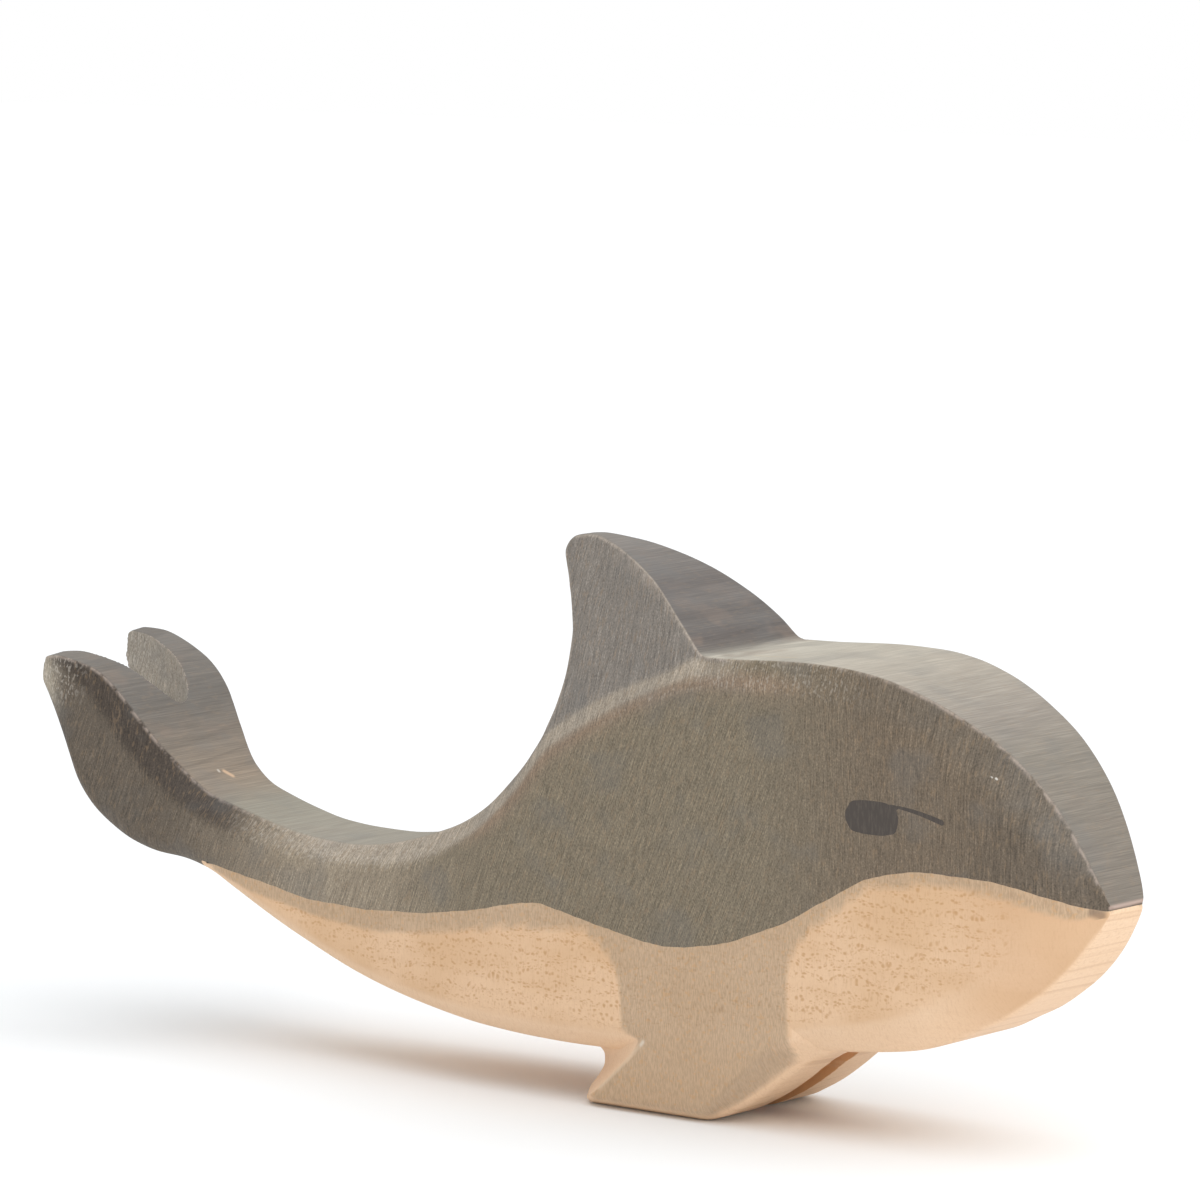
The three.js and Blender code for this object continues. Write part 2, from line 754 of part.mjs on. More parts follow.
// Eye blob, a rounded oval, with the brow line that starts at its top and falls to the front
function eyeZone(sign, grow) {
  const centreX = drawnX(outlineNose) - EYE_FROM_NOSE;
  const squareness = 2.6;
  const power = 2 / squareness;
  const blob = [];
  for (let step = 0; step < EYE_STEPS; step += 1) {
    const angle = (2 * Math.PI * step) / EYE_STEPS;
    const [c, s] = [Math.cos(angle), Math.sin(angle)];
    blob.push([
      centreX + (EYE_LENGTH / 2) * Math.sign(c) * Math.abs(c) ** power,
      EYE_ABOVE_FLOOR + (EYE_HEIGHT / 2) * Math.sign(s) * Math.abs(s) ** power,
    ]);
  }
  const browStart = EYE_LENGTH / 5;
  const browTop = 0.42 * EYE_HEIGHT;
  const browFall = 0.14 * BROW_LENGTH;
  const browTaper = 0.55;
  const stroke = (edge) => (share) => {
    const halfWidth = (BROW_WIDTH / 2) * (browTaper + (1 - browTaper) * share);
    return [
      centreX + browStart + share * (BROW_LENGTH - browStart),
      EYE_ABOVE_FLOOR + browTop - browFall * share ** 2 + edge * halfWidth,
    ];
  };
  const shares = [0, 0.2, 0.4, 0.6, 0.8, 1];
  const brow = [...shares.map(stroke(-1)), ...shares.map(stroke(1)).reverse()];
  const [near, far] = sign > 0 ? [WASH_FROM_MIDDLE, BOARD_THICKNESS] : [-BOARD_THICKNESS, -WASH_FROM_MIDDLE];
  return sidePrism(grown(blob, grow), near, far).add(sidePrism(grown(brow, grow), near, far));
}

function meshOf(name, solid, finish) {
  const { vertProperties, triVerts } = solid.getMesh();
  const geometry = new THREE.BufferGeometry();
  geometry.setAttribute('position', new THREE.Float32BufferAttribute(vertProperties, 3));
  geometry.setIndex([...triVerts]);
  geometry.computeVertexNormals();
  const mesh = new THREE.Mesh(geometry, new THREE.MeshStandardMaterial(FINISHES[finish]));
  mesh.name = name;
  return mesh;
}

const outer = whale(0);
const skin = outer.subtract(whale(COAT_THICKNESS));
const bareWood = outer
  .subtract(stainZone(COAT_GAP))
  .subtract(washZone(1, COAT_GAP))
  .subtract(washZone(-1, COAT_GAP));
const wood = whale(COAT_THICKNESS + COAT_GAP).add(bareWood);
const stain = skin
  .intersect(stainZone(0))
  .subtract(eyeZone(1, COAT_GAP))
  .subtract(eyeZone(-1, COAT_GAP));

const figure = new THREE.Group();
figure.add(meshOf('maple_body', wood, 'maple'));
figure.add(meshOf('grey_stain', stain, 'stain'));
figure.add(meshOf('wash_right', skin.intersect(washZone(-1, 0)), 'wash'));
figure.add(meshOf('wash_left', skin.intersect(washZone(1, 0)), 'wash'));
figure.add(meshOf('eye_mark_right', skin.intersect(eyeZone(-1, 0)), 'paint'));
figure.add(meshOf('eye_mark_left', skin.intersect(eyeZone(1, 0)), 'paint'));

// The origin is on the floor below the middle of the figure's length
const box = new THREE.Box3().setFromObject(figure);
figure.position.x = -(box.min.x + box.max.x) / 2;

export default figure;
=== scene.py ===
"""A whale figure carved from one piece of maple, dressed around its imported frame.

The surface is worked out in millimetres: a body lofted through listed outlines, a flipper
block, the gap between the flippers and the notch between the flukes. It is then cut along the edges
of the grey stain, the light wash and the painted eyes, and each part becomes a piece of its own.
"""

from __future__ import annotations

import logging
from dataclasses import dataclass, field
from enum import IntEnum

import bpy
import numpy as np
from mathutils import Matrix, Vector


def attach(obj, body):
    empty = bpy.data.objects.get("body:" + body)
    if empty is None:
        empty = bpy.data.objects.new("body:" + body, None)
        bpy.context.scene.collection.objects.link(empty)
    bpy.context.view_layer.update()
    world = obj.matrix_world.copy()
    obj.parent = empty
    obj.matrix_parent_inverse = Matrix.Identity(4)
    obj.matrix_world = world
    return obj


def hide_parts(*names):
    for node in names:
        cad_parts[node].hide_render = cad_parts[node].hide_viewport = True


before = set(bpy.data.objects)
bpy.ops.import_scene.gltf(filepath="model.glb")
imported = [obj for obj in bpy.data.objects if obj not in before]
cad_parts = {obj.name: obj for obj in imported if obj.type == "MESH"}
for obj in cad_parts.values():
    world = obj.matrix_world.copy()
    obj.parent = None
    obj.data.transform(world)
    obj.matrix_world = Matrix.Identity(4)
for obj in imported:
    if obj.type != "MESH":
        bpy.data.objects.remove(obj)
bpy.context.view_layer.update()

Array = np.ndarray
Socket = bpy.types.NodeSocket
Size = tuple[float, float, float]
Rows = tuple[tuple[float, ...], ...]
# A measure of the form, and where a smooth rise from 0 to 1 along it starts and ends
Ramp = tuple[str, float, float]
LOG = logging.getLogger("whale")
MM = 0.001
TINY = 1e-12
# Half the board's thickness, and widths across the board, in millimetres
HALF_BOARD = 16.5
BELLY_WIDTH = 27.0
BACK_WIDTH = 29.8
STOCK_WIDTH = 15.0
FLUKE_WIDTH = 32.6
TIP_WIDTH = 4.4
NOSE_WIDTH = 9.6


def linear(code: str) -> tuple[float, float, float, float]:
    """Turns an sRGB hex colour into the linear colour that a shader takes.

    Args:
        code: colour as "#rrggbb".

    Returns:
        Linear red, green and blue, and full alpha.
    """
    shares = [int(code[i:i + 2], 16) / 255 for i in (1, 3, 5)]
    red, green, blue = (c / 12.92 if c <= 0.04045 else ((c + 0.055) / 1.055) ** 2.4 for c in shares)
    return red, green, blue, 1.0


def smooth(value: Array, start: float, end: float) -> Array:
    """Rises smoothly from 0 at start to 1 at end; with start above end it falls instead."""
    t = np.clip((value - start) / (end - start), 0, 1)
    return t * t * (3 - 2 * t)


def bell(value: Array, centre: float, width: float) -> Array:
    """Is 1 at a centre and falls to both sides, to about a third one width away."""
    return np.exp(-((value - centre) / width) ** 2)


def unit(vectors: Array) -> Array:
    """Makes each row one unit long."""
    return vectors / np.maximum(np.linalg.norm(vectors, axis=1), TINY)[:, None]


class Curve:
    """Smooth curve through rows of (position, value, ...) that never swings past them."""

    def __init__(self, rows: Rows) -> None:
        """Takes the slope at each row as the harmonic mean of the slopes beside it.

        Args:
            rows: position first, then the values there.
        """
        table = np.array(rows, float)
        self.at, self.values = table[:, 0], table[:, 1:]
        slopes = np.diff(self.values, axis=0) / np.diff(self.at)[:, None]
        before, after = slopes[:-1], slopes[1:]
        rising = before * after > 0
        total = np.where(rising, before + after, 1)
        inner = np.where(rising, 2 * before * after / total, 0)
        self.slopes = np.vstack([slopes[:1], inner, slopes[-1:]])

    def __call__(self, position: Array) -> Array:
        """Gives the values at each position.

        Args:
            position: positions along the curve.

        Returns:
            One row of values for each position.
        """
        row = np.clip(np.searchsorted(self.at, position, side="right") - 1, 0, len(self.at) - 2)
        span = (self.at[row + 1] - self.at[row])[:, None]
        t = np.clip((position - self.at[row])[:, None] / span, 0, 1)
        rise = t * t * (3 - 2 * t)
        return (
            (1 - rise) * self.values[row] + rise * self.values[row + 1]
            + t * (1 - t) ** 2 * span * self.slopes[row]
            + t * t * (t - 1) * span * self.slopes[row + 1]
        )


def through_points(points: Rows, steps: int) -> Array:
    """Runs a smooth line through given points, with its position counted in points.

    Args:
        points: x and z of each point.
        steps: pieces of line between two points.

    Returns:
        Points along the line, x and z.
    """
    curve = Curve([(i, *point) for i, point in enumerate(points)])
    curve.slopes = np.gradient(curve.values, axis=0)
    return curve(np.linspace(0, len(points) - 1, (len(points) - 1) * steps + 1))


def signed_distance(outline: Array, points: Array) -> Array:
    """Distance from points to a closed outline: positive inside, negative outside.

    It is the distance to the nearest straight piece of the outline, and a point is inside if a ray
    from it crosses the outline an odd number of times.

    Args:
        outline: corners in order, two columns.
        points: two columns.

    Returns:
        One distance for each point.
    """
    chunk = 3000
    start, end = outline, np.roll(outline, -1, axis=0)
    along = end - start
    length = np.maximum((along ** 2).sum(1), TINY)
    found = []
    for part in np.array_split(points, max(1, len(points) // chunk)):
        apart = part[:, None, :] - start
        t = np.clip((apart * along).sum(2) / length, 0, 1)
        nearest = np.sqrt(((apart - t[..., None] * along) ** 2).sum(2).min(1))
        above = (start[:, 1] > part[:, 1:2]) != (end[:, 1] > part[:, 1:2])
        rise = np.where(np.abs(along[:, 1]) < TINY, TINY, along[:, 1])
        crossing = start[:, 0] + (part[:, 1:2] - start[:, 1]) * along[:, 0] / rise
        inside = ((above & (part[:, 0:1] < crossing)).sum(1) % 2) == 1
        found.append(np.where(inside, nearest, -nearest))
    return np.concatenate(found)


def rounded(corners: Array, reach: Array, pieces: tuple[int, ...], closed: bool) -> Array:
    """Rounds the corners of many profiles at once and divides their straight stretches.

    Each corner C becomes the curve (1-t)^2 A + 2t(1-t) C + t^2 B, where A and B lie the corner's
    reach away from it on the two edges beside it.

    Args:
        corners: profiles by corners by three coordinates.
        reach: profiles by corners, how far the rounding reaches along its edges.
        pieces: how many pieces each straight stretch has, beginning after the first corner.
        closed: whether the last corner joins the first one; otherwise both ends stay sharp.

    Returns:
        Profiles by points by three coordinates.
    """
    count, bends, most_of_edge, least = corners.shape[1], 5, 0.45, 1e-9
    to_next = np.roll(corners, -1, axis=1) - corners
    to_last = np.roll(corners, 1, axis=1) - corners
    next_length = np.maximum(np.linalg.norm(to_next, axis=2), least)
    last_length = np.maximum(np.linalg.norm(to_last, axis=2), least)
    size = np.minimum(reach, most_of_edge * np.minimum(next_length, last_length))
    if not closed:
        size[:, [0, -1]] = 0
    before = corners + to_last / last_length[..., None] * size[..., None]
    after = corners + to_next / next_length[..., None] * size[..., None]
    t = np.linspace(0, 1, bends + 1)[:, None]
    parts = []
    for k in range(count):
        if not closed and k in (0, count - 1):
            parts.append(corners[:, k:k + 1])
        else:
            a, c, b = before[:, None, k], corners[:, None, k], after[:, None, k]
            parts.append((1 - t) ** 2 * a + 2 * t * (1 - t) * c + t ** 2 * b)
        if k < count - 1 or closed:
            share = (np.arange(1, pieces[k]) / pieces[k])[:, None]
            parts.append(after[:, None, k] * (1 - share) + before[:, None, (k + 1) % count] * share)
    return np.concatenate(parts, axis=1)


class Zone(IntEnum):
    """What covers a triangle of the surface."""

    BARE = 0
    STAIN = 1
    WASH_RIGHT = 2
    WASH_LEFT = 3
    EYE_RIGHT = 4
    EYE_LEFT = 5


@dataclass
class Surface:
    """Triangles in millimetres, each with the zone that it belongs to."""

    points: Array
    triangles: Array
    zones: Array

    def edges(self) -> tuple[Array, Array]:
        """Lists the edges once each.

        Returns:
            The edges as pairs of points, lower number first, and for each triangle the numbers of
            its three edges, which start at its first, second and third corner.
        """
        ends = np.stack([self.triangles, np.roll(self.triangles, -1, axis=1)], axis=2).reshape(-1, 2)
        ends.sort(axis=1)
        keys = ends[:, 0] * len(self.points) + ends[:, 1]
        unique, inverse = np.unique(keys, return_inverse=True)
        pairs = np.stack([unique // len(self.points), unique % len(self.points)], axis=1)
        return pairs, inverse.reshape(-1, 3)

    def lengths(self, pairs: Array) -> Array:
        """Lengths of edges given as pairs of points."""
        return np.linalg.norm(self.points[pairs[:, 0]] - self.points[pairs[:, 1]], axis=1)

    def cut(self, pairs: Array, of_triangle: Array, marked: Array, share: Array) -> Surface:
        """Puts a new point on each marked edge and divides the triangles beside it.

        A triangle with one new point becomes two, with two new points three, and with three four.

        Args:
            pairs: the edges as pairs of points.
            of_triangle: the three edges of each triangle.
            marked: whether an edge gets a new point.
            share: how far along its edge each point lies, from the lower numbered end.

        Returns:
            The finer surface, its new points after the old ones.
        """
        first, last = self.points[pairs[marked, 0]], self.points[pairs[marked, 1]]
        fresh = first + (last - first) * share[marked][:, None]
        number = np.full(len(pairs), -1)
        number[marked] = len(self.points) + np.arange(marked.sum())
        middle = number[of_triangle]
        count = (middle >= 0).sum(1)
        one, two = np.argmax(middle >= 0, axis=1), (np.argmax(middle < 0, axis=1) + 2) % 3
        turn = np.where(count == 1, one, np.where(count == 2, two, 0))
        order = (np.arange(3) + turn[:, None]) % 3
        a, b, c = np.take_along_axis(self.triangles, order, 1).T
        p, q, r = np.take_along_axis(middle, order, 1).T
        templates = {
            0: [(a, b, c)],
            1: [(a, p, c), (p, b, c)],
            2: [(a, p, r), (p, b, c), (p, c, r)],
            3: [(a, p, r), (p, b, q), (r, q, c), (p, q, r)],
        }
        triangles, zones = [], []
        for marks, corners in templates.items():
            chosen = count == marks
            for corner in corners:
                triangles.append(np.stack([v[chosen] for v in corner], axis=1))
                zones.append(self.zones[chosen])
        points = np.vstack([self.points, fresh])
        return Surface(points, np.vstack(triangles), np.concatenate(zones))

    def refined(self, near: Array, longest: float) -> Surface:
        """Halves the edges longer than a limit that touch a chosen point.

        Args:
            near: whether each point is chosen.
            longest: limit in millimetres.

        Returns:
            The finer surface.
        """
        pairs, of_triangle = self.edges()
        marked = (self.lengths(pairs) > longest) & near[pairs].any(1)
        return self.cut(pairs, of_triangle, marked, np.full(len(pairs), 0.5))

    def split(self, values: Array, zone: Zone, onto: Zone) -> Surface:
        """Cuts the surface along the line where values are zero and gives the positive side a zone.

        Args:
            values: one number in millimetres for each point.
            zone: zone of the positive side.
            onto: the zone that it may cover.

        Returns:
            The cut surface.
        """
        snap = 0.03
        values = np.where(np.abs(values) < snap, 0, values)
        pairs, of_triangle = self.edges()
        start, end = values[pairs[:, 0]], values[pairs[:, 1]]
        marked = start * end < 0
        made = self.cut(pairs, of_triangle, marked, start / np.where(marked, start - end, 1))
        values = np.concatenate([values, np.zeros(marked.sum())])
        inside = values[made.triangles].sum(1) > 0
        made.zones = np.where(inside & (made.zones == onto), zone, made.zones)
        return made

    def face_normals(self) -> Array:
        """Normals of the triangles, as long as twice their areas."""
        a, b, c = (self.points[self.triangles[:, k]] for k in range(3))
        return np.cross(b - a, c - a)

    def normals(self, by_angle: bool = False) -> Array:
        """Normals of the points: the mean of the triangles round each.

        Args:
            by_angle: whether a triangle counts by its angle at the point, which on a sharp edge gives
                the direction half way between its two sides, or else by its area, which keeps the
                shading of flats and bevels true.

        Returns:
            One unit vector for each point.
        """
        faces = np.repeat(self.face_normals()[:, None], 3, axis=1)
        if by_angle:
            least_area = 1e-4
            corners = self.points[self.triangles]
            ahead, back = np.roll(corners, -1, axis=1) - corners, np.roll(corners, 1, axis=1) - corners
            lengths = np.linalg.norm(ahead, axis=2) * np.linalg.norm(back, axis=2)
            angle = np.arccos(np.clip((ahead * back).sum(2) / np.maximum(lengths, TINY), -1, 1))
            size = np.linalg.norm(faces, axis=2)
            faces = faces * (angle * (size > least_area) / np.maximum(size, TINY))[..., None]
        at, flat = self.triangles.ravel(), faces.reshape(-1, 3)
        return unit(np.stack([np.bincount(at, flat[:, k], len(self.points)) for k in range(3)], axis=1))

    def rims(self, degrees: float) -> tuple[Array, Array, Array]:
        """Finds the edges where the surface turns by more than an angle.

        Slivers have no sure normal and are left out.

        Args:
            degrees: the angle.

        Returns:
            All the edges as pairs of points, which of them are rims, and which rims stand out.
        """
        sliver = 1e-3
        faces = self.face_normals()
        twice_area, facing = np.linalg.norm(faces, axis=1), unit(faces)
        middle = self.points[self.triangles].mean(1)
        pairs, of_triangle = self.edges()
        face = np.argsort(of_triangle.ravel(), kind="stable") // 3
        one, other = face[0::2], face[1::2]
        sure = np.minimum(twice_area[one], twice_area[other]) > sliver
        turned = sure & ((facing[one] * facing[other]).sum(1) < np.cos(np.radians(degrees)))
        outward = turned & (((middle[other] - middle[one]) * facing[one]).sum(1) < 0)
        return pairs, turned, outward

    def evened(self, ways: Array, pairs: Array, rounds: int) -> Array:
        """Turns directions towards the mean of their neighbours' a few times.

        Args:
            ways: one unit vector for each point.
            pairs: the edges that make two points neighbours.
            rounds: how many times.

        Returns:
            The evened unit vectors.
        """
        to, source = np.vstack([pairs, pairs[:, ::-1]]).T
        for _ in range(rounds):
            total = [np.bincount(to, ways[source, k], len(ways)) for k in range(3)]
            ways = unit(ways + np.stack(total, axis=1))
        return ways

    def from_rims(self, degrees: float, outward_only: bool = False) -> tuple[Array, Array]:
        """Distance along the mesh from the rims, and the way into the wood at the nearest rim.

        Each round carries both one edge further: a point takes the least of its neighbours'
        distances plus the edge's length, and that neighbour's way.

        Args:
            degrees: how far the surface turns at a rim.
            outward_only: whether only the rims that stand out count.

        Returns:
            Distances in millimetres, very large far from a rim, and one unit vector for each point.
        """
        far, even_rounds, carry_rounds = 1e3, 6, 14
        pairs, turned, outward = self.rims(degrees)
        rim = pairs[outward if outward_only else turned]
        ways = self.evened(-self.normals(True), rim, even_rounds)
        distance = np.full(len(self.points), far)
        distance[rim.ravel()] = 0
        length = np.tile(self.lengths(pairs), 2)
        to, source = np.concatenate([pairs, pairs[:, ::-1]]).T
        for _ in range(carry_rounds):
            reached = distance[source] + length
            nearer = distance.copy()
            np.minimum.at(nearer, to, reached)
            carried = (reached < distance[to]) & (reached == nearer[to])
            ways[to[carried]] = ways[source[carried]]
            distance = nearer
        return distance, ways

    def beds(self) -> Array:
        """Ways into the wood for the coats' undersides, one unit deep and less beside a sharp rim.

        Near a rim the depth falls to a small share, because the wood there may be thinner than a
        coat, and the way turns to the rim's own.

        Returns:
            One vector for each point.
        """
        rim_angle, rim_share, turn_from, full_depth = 26, 0.15, 0.2, 1.2
        distance, ways = self.from_rims(rim_angle)
        own = self.evened(-self.normals(True), self.edges()[0], 2)
        ways = unit(ways + smooth(distance, turn_from, full_depth)[:, None] * (own - ways))
        return ways * np.minimum(rim_share + (1 - rim_share) * distance / full_depth, 1)[:, None]

    def blunted(self, degrees: float, depth: float, reach: float) -> Surface:
        """Takes the sharpness off the rims that stand out, as a pass of fine paper does.

        A point at a distance d from the rim moves by depth (1 - d / reach)^2.

        Args:
            degrees: how far the surface turns at a rim.
            depth: how far a point on a rim moves inwards, in millimetres.
            reach: how far from the rim the points still move a little.

        Returns:
            The blunter surface.
        """
        distance, ways = self.from_rims(degrees, True)
        share = np.maximum(1 - distance / reach, 0) ** 2
        return Surface(self.points + depth * share[:, None] * ways, self.triangles, self.zones)


def linked(name: str, data: bpy.types.ID) -> bpy.types.Object:
    """Makes an object and links it to the scene.

    Args:
        name: its name.
        data: its mesh, lamp or camera.

    Returns:
        The object, at the origin.
    """
    made = bpy.data.objects.new(name, data)
    bpy.context.scene.collection.objects.link(made)
    return made


def mesh_of(name: str, points: Array, faces: list[list[int]]) -> bpy.types.Object:
    """Makes an object of points and faces.

    Args:
        name: its name.
        points: three columns.
        faces: the numbers of each face's corners.

    Returns:
        The object, at the origin.
    """
    mesh = bpy.data.meshes.new(name)
    mesh.from_pydata(points, [], faces)
    mesh.update()
    return linked(name, mesh)


def grid_faces(rows: int, columns: int, closed: bool) -> Array:
    """Faces of a grid of points, row after row.

    Args:
        rows: how many rows of points.
        columns: how many points in a row.
        closed: whether the last point of a row joins its first.

    Returns:
        Four corners for each face.
    """
    row, column = np.meshgrid(np.arange(rows - 1), np.arange(columns - (not closed)), indexing="ij")
    after = (column + 1) % columns
    corners = [row * columns + column, (row + 1) * columns + column,
               (row + 1) * columns + after, row * columns + after]
    return np.stack(corners, axis=2).reshape(-1, 4)


def closed_by_fans(faces: Array, fans: list[tuple[int, Array, Array]]) -> list[list[int]]:
    """Halves four-cornered faces and closes their open ends with fans of triangles.

    Args:
        faces: four corners for each face.
        fans: for each end its pole and the two ends of each edge round it.

    Returns:
        Three corners for each face.
    """
    ends = [np.stack([np.full(len(first), pole), first, second], axis=1) for pole, first, second in fans]
    return np.vstack([faces[:, [0, 1, 2]], faces[:, [0, 2, 3]], *ends]).tolist()


@dataclass(frozen=True)
class Trunk:
    """Body, fin and flukes: rings from the fluke tips (station 0) to the nose (station 54).

    On the way are the tail stock (14), the foot of the fin's rear edge (24), the fin's tip (31) and
    the foot of its front edge (38). Each row of a line holds a station, x and z. A row of the ridge's
    shares holds a station and the share of the way from its second width to its first. Pieces are
    those of each side of a ring, from the left upper bevel down, under and up to the ridge's top.
    """

    steps: int = 6
    pieces: tuple[int, ...] = (6, 3, 22, 3, 9, 3, 22, 3, 6, 9)
    left_extra_length: float = 6.0
    left_extra_height: float = 1.9
    tail_rounding: float = 1.1
    nose_rounding: float = 0.35
    upper: Rows = (
        (0, -110.6, 65.9), (1, -109.2, 66.8), (2, -106, 67.1), (3, -102.2, 66.3), (4, -98.8, 65),
        (5, -95.6, 62.8), (6, -92.6, 59.9), (7, -90, 56.6), (8, -87.4, 53.2), (9, -84.6, 50),
        (10, -81.2, 46.7), (11, -77, 44), (12, -71.5, 42.2), (13, -65.5, 40.6), (14, -58.5, 39.1),
        (15, -51.5, 38.4), (16, -44.5, 38.2), (17, -37.5, 38.8), (18, -30.5, 40.2), (19, -24, 42.1),
        (20, -17.5, 44.4), (21, -11, 47.9), (22, -5, 52.8), (23, 0.2, 58), (24, 3.6, 62.7),
        (25, 5.3, 67.6), (26, 5.7, 73), (27, 5.1, 78.6), (28, 3.2, 84.2), (29, 0.9, 89),
        (30, -0.8, 92.6), (31, 0.8, 94.8), (32, 5, 95.4), (33, 11, 94.4), (34, 17, 92.5),
        (35, 23, 89.8), (36, 28.5, 86.2), (37, 33.6, 82), (38, 37.3, 78.6), (39, 38.6, 78.3),
        (40, 44, 78.4), (42, 59, 79), (43, 66.5, 78.8), (44, 73.5, 77.9), (45, 79.8, 76.2),
        (46, 85.6, 73.9), (47, 91, 71.1), (48, 96.2, 67.8), (49, 100.8, 63.8), (50, 104.8, 59.2),
        (51, 108, 54.2), (52, 110.6, 49), (53, 112.4, 44.9), (54, 113.1, 42.9),
    )
    lower: Rows = (
        (0, -111.1, 62.8), (1, -110.2, 61), (2, -109, 58.6), (3, -107.6, 55.4), (4, -106.3, 52),
        (5, -105.1, 48.6), (6, -103.6, 44.4), (7, -101.1, 40.6), (8, -97.2, 37.2), (9, -92.4, 34.4),
        (10, -87, 32.8), (11, -81.5, 32.2), (12, -75.6, 30.6), (13, -69.5, 27.8), (15, -54.5, 21.2),
        (17, -38.5, 15.8), (19, -23, 12.4), (21, -9.5, 10.5), (23, 1, 9.8), (25, 9, 9.6),
        (28, 17.5, 9.7), (31, 24, 9.9), (35, 34, 10.7), (38, 42.5, 11.8), (40, 49.5, 12.9),
        (42, 59, 14.3), (43, 65, 14.7), (44, 73, 15.5), (45, 79.5, 16.4), (46, 85, 18),
        (47, 90.3, 20.5), (48, 95.2, 22.9), (49, 99.6, 25.8), (50, 103.4, 28.7), (51, 107, 32.3),
        (52, 109.8, 35.9), (53, 111.8, 39.1), (54, 113, 41.5),
    )
    foot: Rows = (
        (22, -4, 51.7), (24, 4.6, 62.3), (27, 9.6, 65.6), (30, 14.6, 68.4), (32, 18.8, 70.4),
        (34, 24, 72.5), (36, 30.2, 74.7), (38, 37.4, 77.8), (40, 44, 77.6),
    )
    flank_top: Rows = (
        (0, -110.7, 65.4), (2, -106.2, 65.3), (4, -100.8, 61.9), (6, -95.8, 56.6), (8, -90.8, 50.3),
        (10, -84.3, 43.9), (12, -73.3, 38.7), (14, -59.6, 35.6), (16, -44.5, 34.3), (18, -29, 35.6),
        (20, -14.6, 40.6), (22, -1.6, 50.2), (24, 6.4, 58.9), (27, 11.8, 62.1), (30, 17, 65),
        (34, 26, 69.3), (38, 38.2, 73.6), (40, 45, 74.2), (42, 59, 74.3), (43, 66, 73.8),
        (44, 72.5, 72.4), (45, 78, 69.7), (46, 83, 66.4), (47, 88, 64), (48, 93.2, 61.6),
        (49, 98, 58.4), (50, 102.3, 54.8), (52, 109, 47.6), (54, 112.9, 42.6),
    )
    flank_bottom: Rows = (
        (0, -110.9, 63.3), (2, -108.2, 59.1), (4, -105.2, 52.9), (6, -102.3, 45.6), (8, -96, 39.2),
        (10, -86.6, 34.9), (12, -75, 32.4), (14, -61.6, 26.2), (17, -38.2, 18), (19, -22.7, 14.9),
        (21, -9.3, 13.4), (24, 5, 13), (28, 17.5, 13.1), (31, 24, 13.2), (35, 34, 14),
        (38, 42.5, 15.2), (40, 49.5, 16.4), (42, 58.5, 18), (44, 73, 21), (45, 79.5, 22.6),
        (46, 85, 24.4), (48, 94.4, 28.6), (50, 102.2, 33.4), (52, 108.4, 38), (53, 110.8, 40.2),
        (54, 112.8, 41.9),
    )
    ridge_shares: Rows = (
        (0, 0.97, FLUKE_WIDTH, 0), (2, 1, FLUKE_WIDTH, 0), (4, 0.896, FLUKE_WIDTH, 0),
        (6, 0.834, FLUKE_WIDTH, 0), (8, 0.455, FLUKE_WIDTH, STOCK_WIDTH),
        (10, 0.148, FLUKE_WIDTH, STOCK_WIDTH), (12, 0.034, FLUKE_WIDTH, STOCK_WIDTH),
        (13.5, 1, STOCK_WIDTH, 0), (16, 0.176, BACK_WIDTH, STOCK_WIDTH),
        (19, 0.351, BACK_WIDTH, STOCK_WIDTH), (21, 0.595, BACK_WIDTH, STOCK_WIDTH),
        (24, 0.824, BACK_WIDTH, STOCK_WIDTH), (26, 0.622, BACK_WIDTH, TIP_WIDTH),
        (28, 0.268, BACK_WIDTH, TIP_WIDTH), (30, 0.016, BACK_WIDTH, TIP_WIDTH),
        (31, 0.955, TIP_WIDTH, 0), (32, 1, TIP_WIDTH, 0), (33, 0.165, BACK_WIDTH, TIP_WIDTH),
        (35, 0.528, BACK_WIDTH, TIP_WIDTH), (37, 0.866, BACK_WIDTH, TIP_WIDTH),
        (38, 0.929, BACK_WIDTH, TIP_WIDTH), (39, 1, BACK_WIDTH, 0), (43, 1, BACK_WIDTH, 0),
        (45, 0.901, BACK_WIDTH, NOSE_WIDTH), (47, 0.713, BACK_WIDTH, NOSE_WIDTH),
        (49, 0.485, BACK_WIDTH, NOSE_WIDTH), (51, 0.257, BACK_WIDTH, NOSE_WIDTH),
        (53, 0.059, BACK_WIDTH, NOSE_WIDTH), (54, 1, NOSE_WIDTH, 0),
    )
    foot_widths: Rows = ((24, 28.0), (31, 28.2), (38, 28.8))
    flank_widths: Rows = (
        (0, 32.6), (2, 33), (5, 32.2), (7, 30.4), (9, 27.6), (11, 24.8), (13, 24), (15, 25),
        (18, 29), (20, 31.6), (23, 33), (45, 33), (46, 32.8), (47, 32.2), (48, 31), (49, 28.8),
        (50, 25.8), (51, 21.6), (52, 17.2), (53, 12.8), (54, 10),
    )
    underside_widths: Rows = (
        (0, 31.2), (4, 30.2), (7, 28), (10, 23.8), (12, 21.4), (15, 22.4), (18, 25.6), (21, 27),
        (40, 26), (43, 25.8), (45, 23.2), (47, 19.2), (49, 16.4), (51, 13.8), (53, 11), (54, 9.6),
    )

    def corners(self, stations: Array) -> Array:
        """Ten corners of the ring at each station, five on the left and their mirrored five.

        A side goes from the ridge's edge by a middle point, which is the fin's foot or else lies a
        little below the ridge, to the flank's upper and lower edge and to the underside's edge.

        Args:
            stations: positions from the fluke tips to the nose.

        Returns:
            Stations by ten corners by three coordinates.
        """
        def side_point(place: Rows, widths: Rows) -> Array:
            """Points at each station with half a width as their y."""
            x, z = Curve(place)(stations).T
            return np.stack([x, Curve(widths)(stations)[:, 0] / 2, z], axis=1)

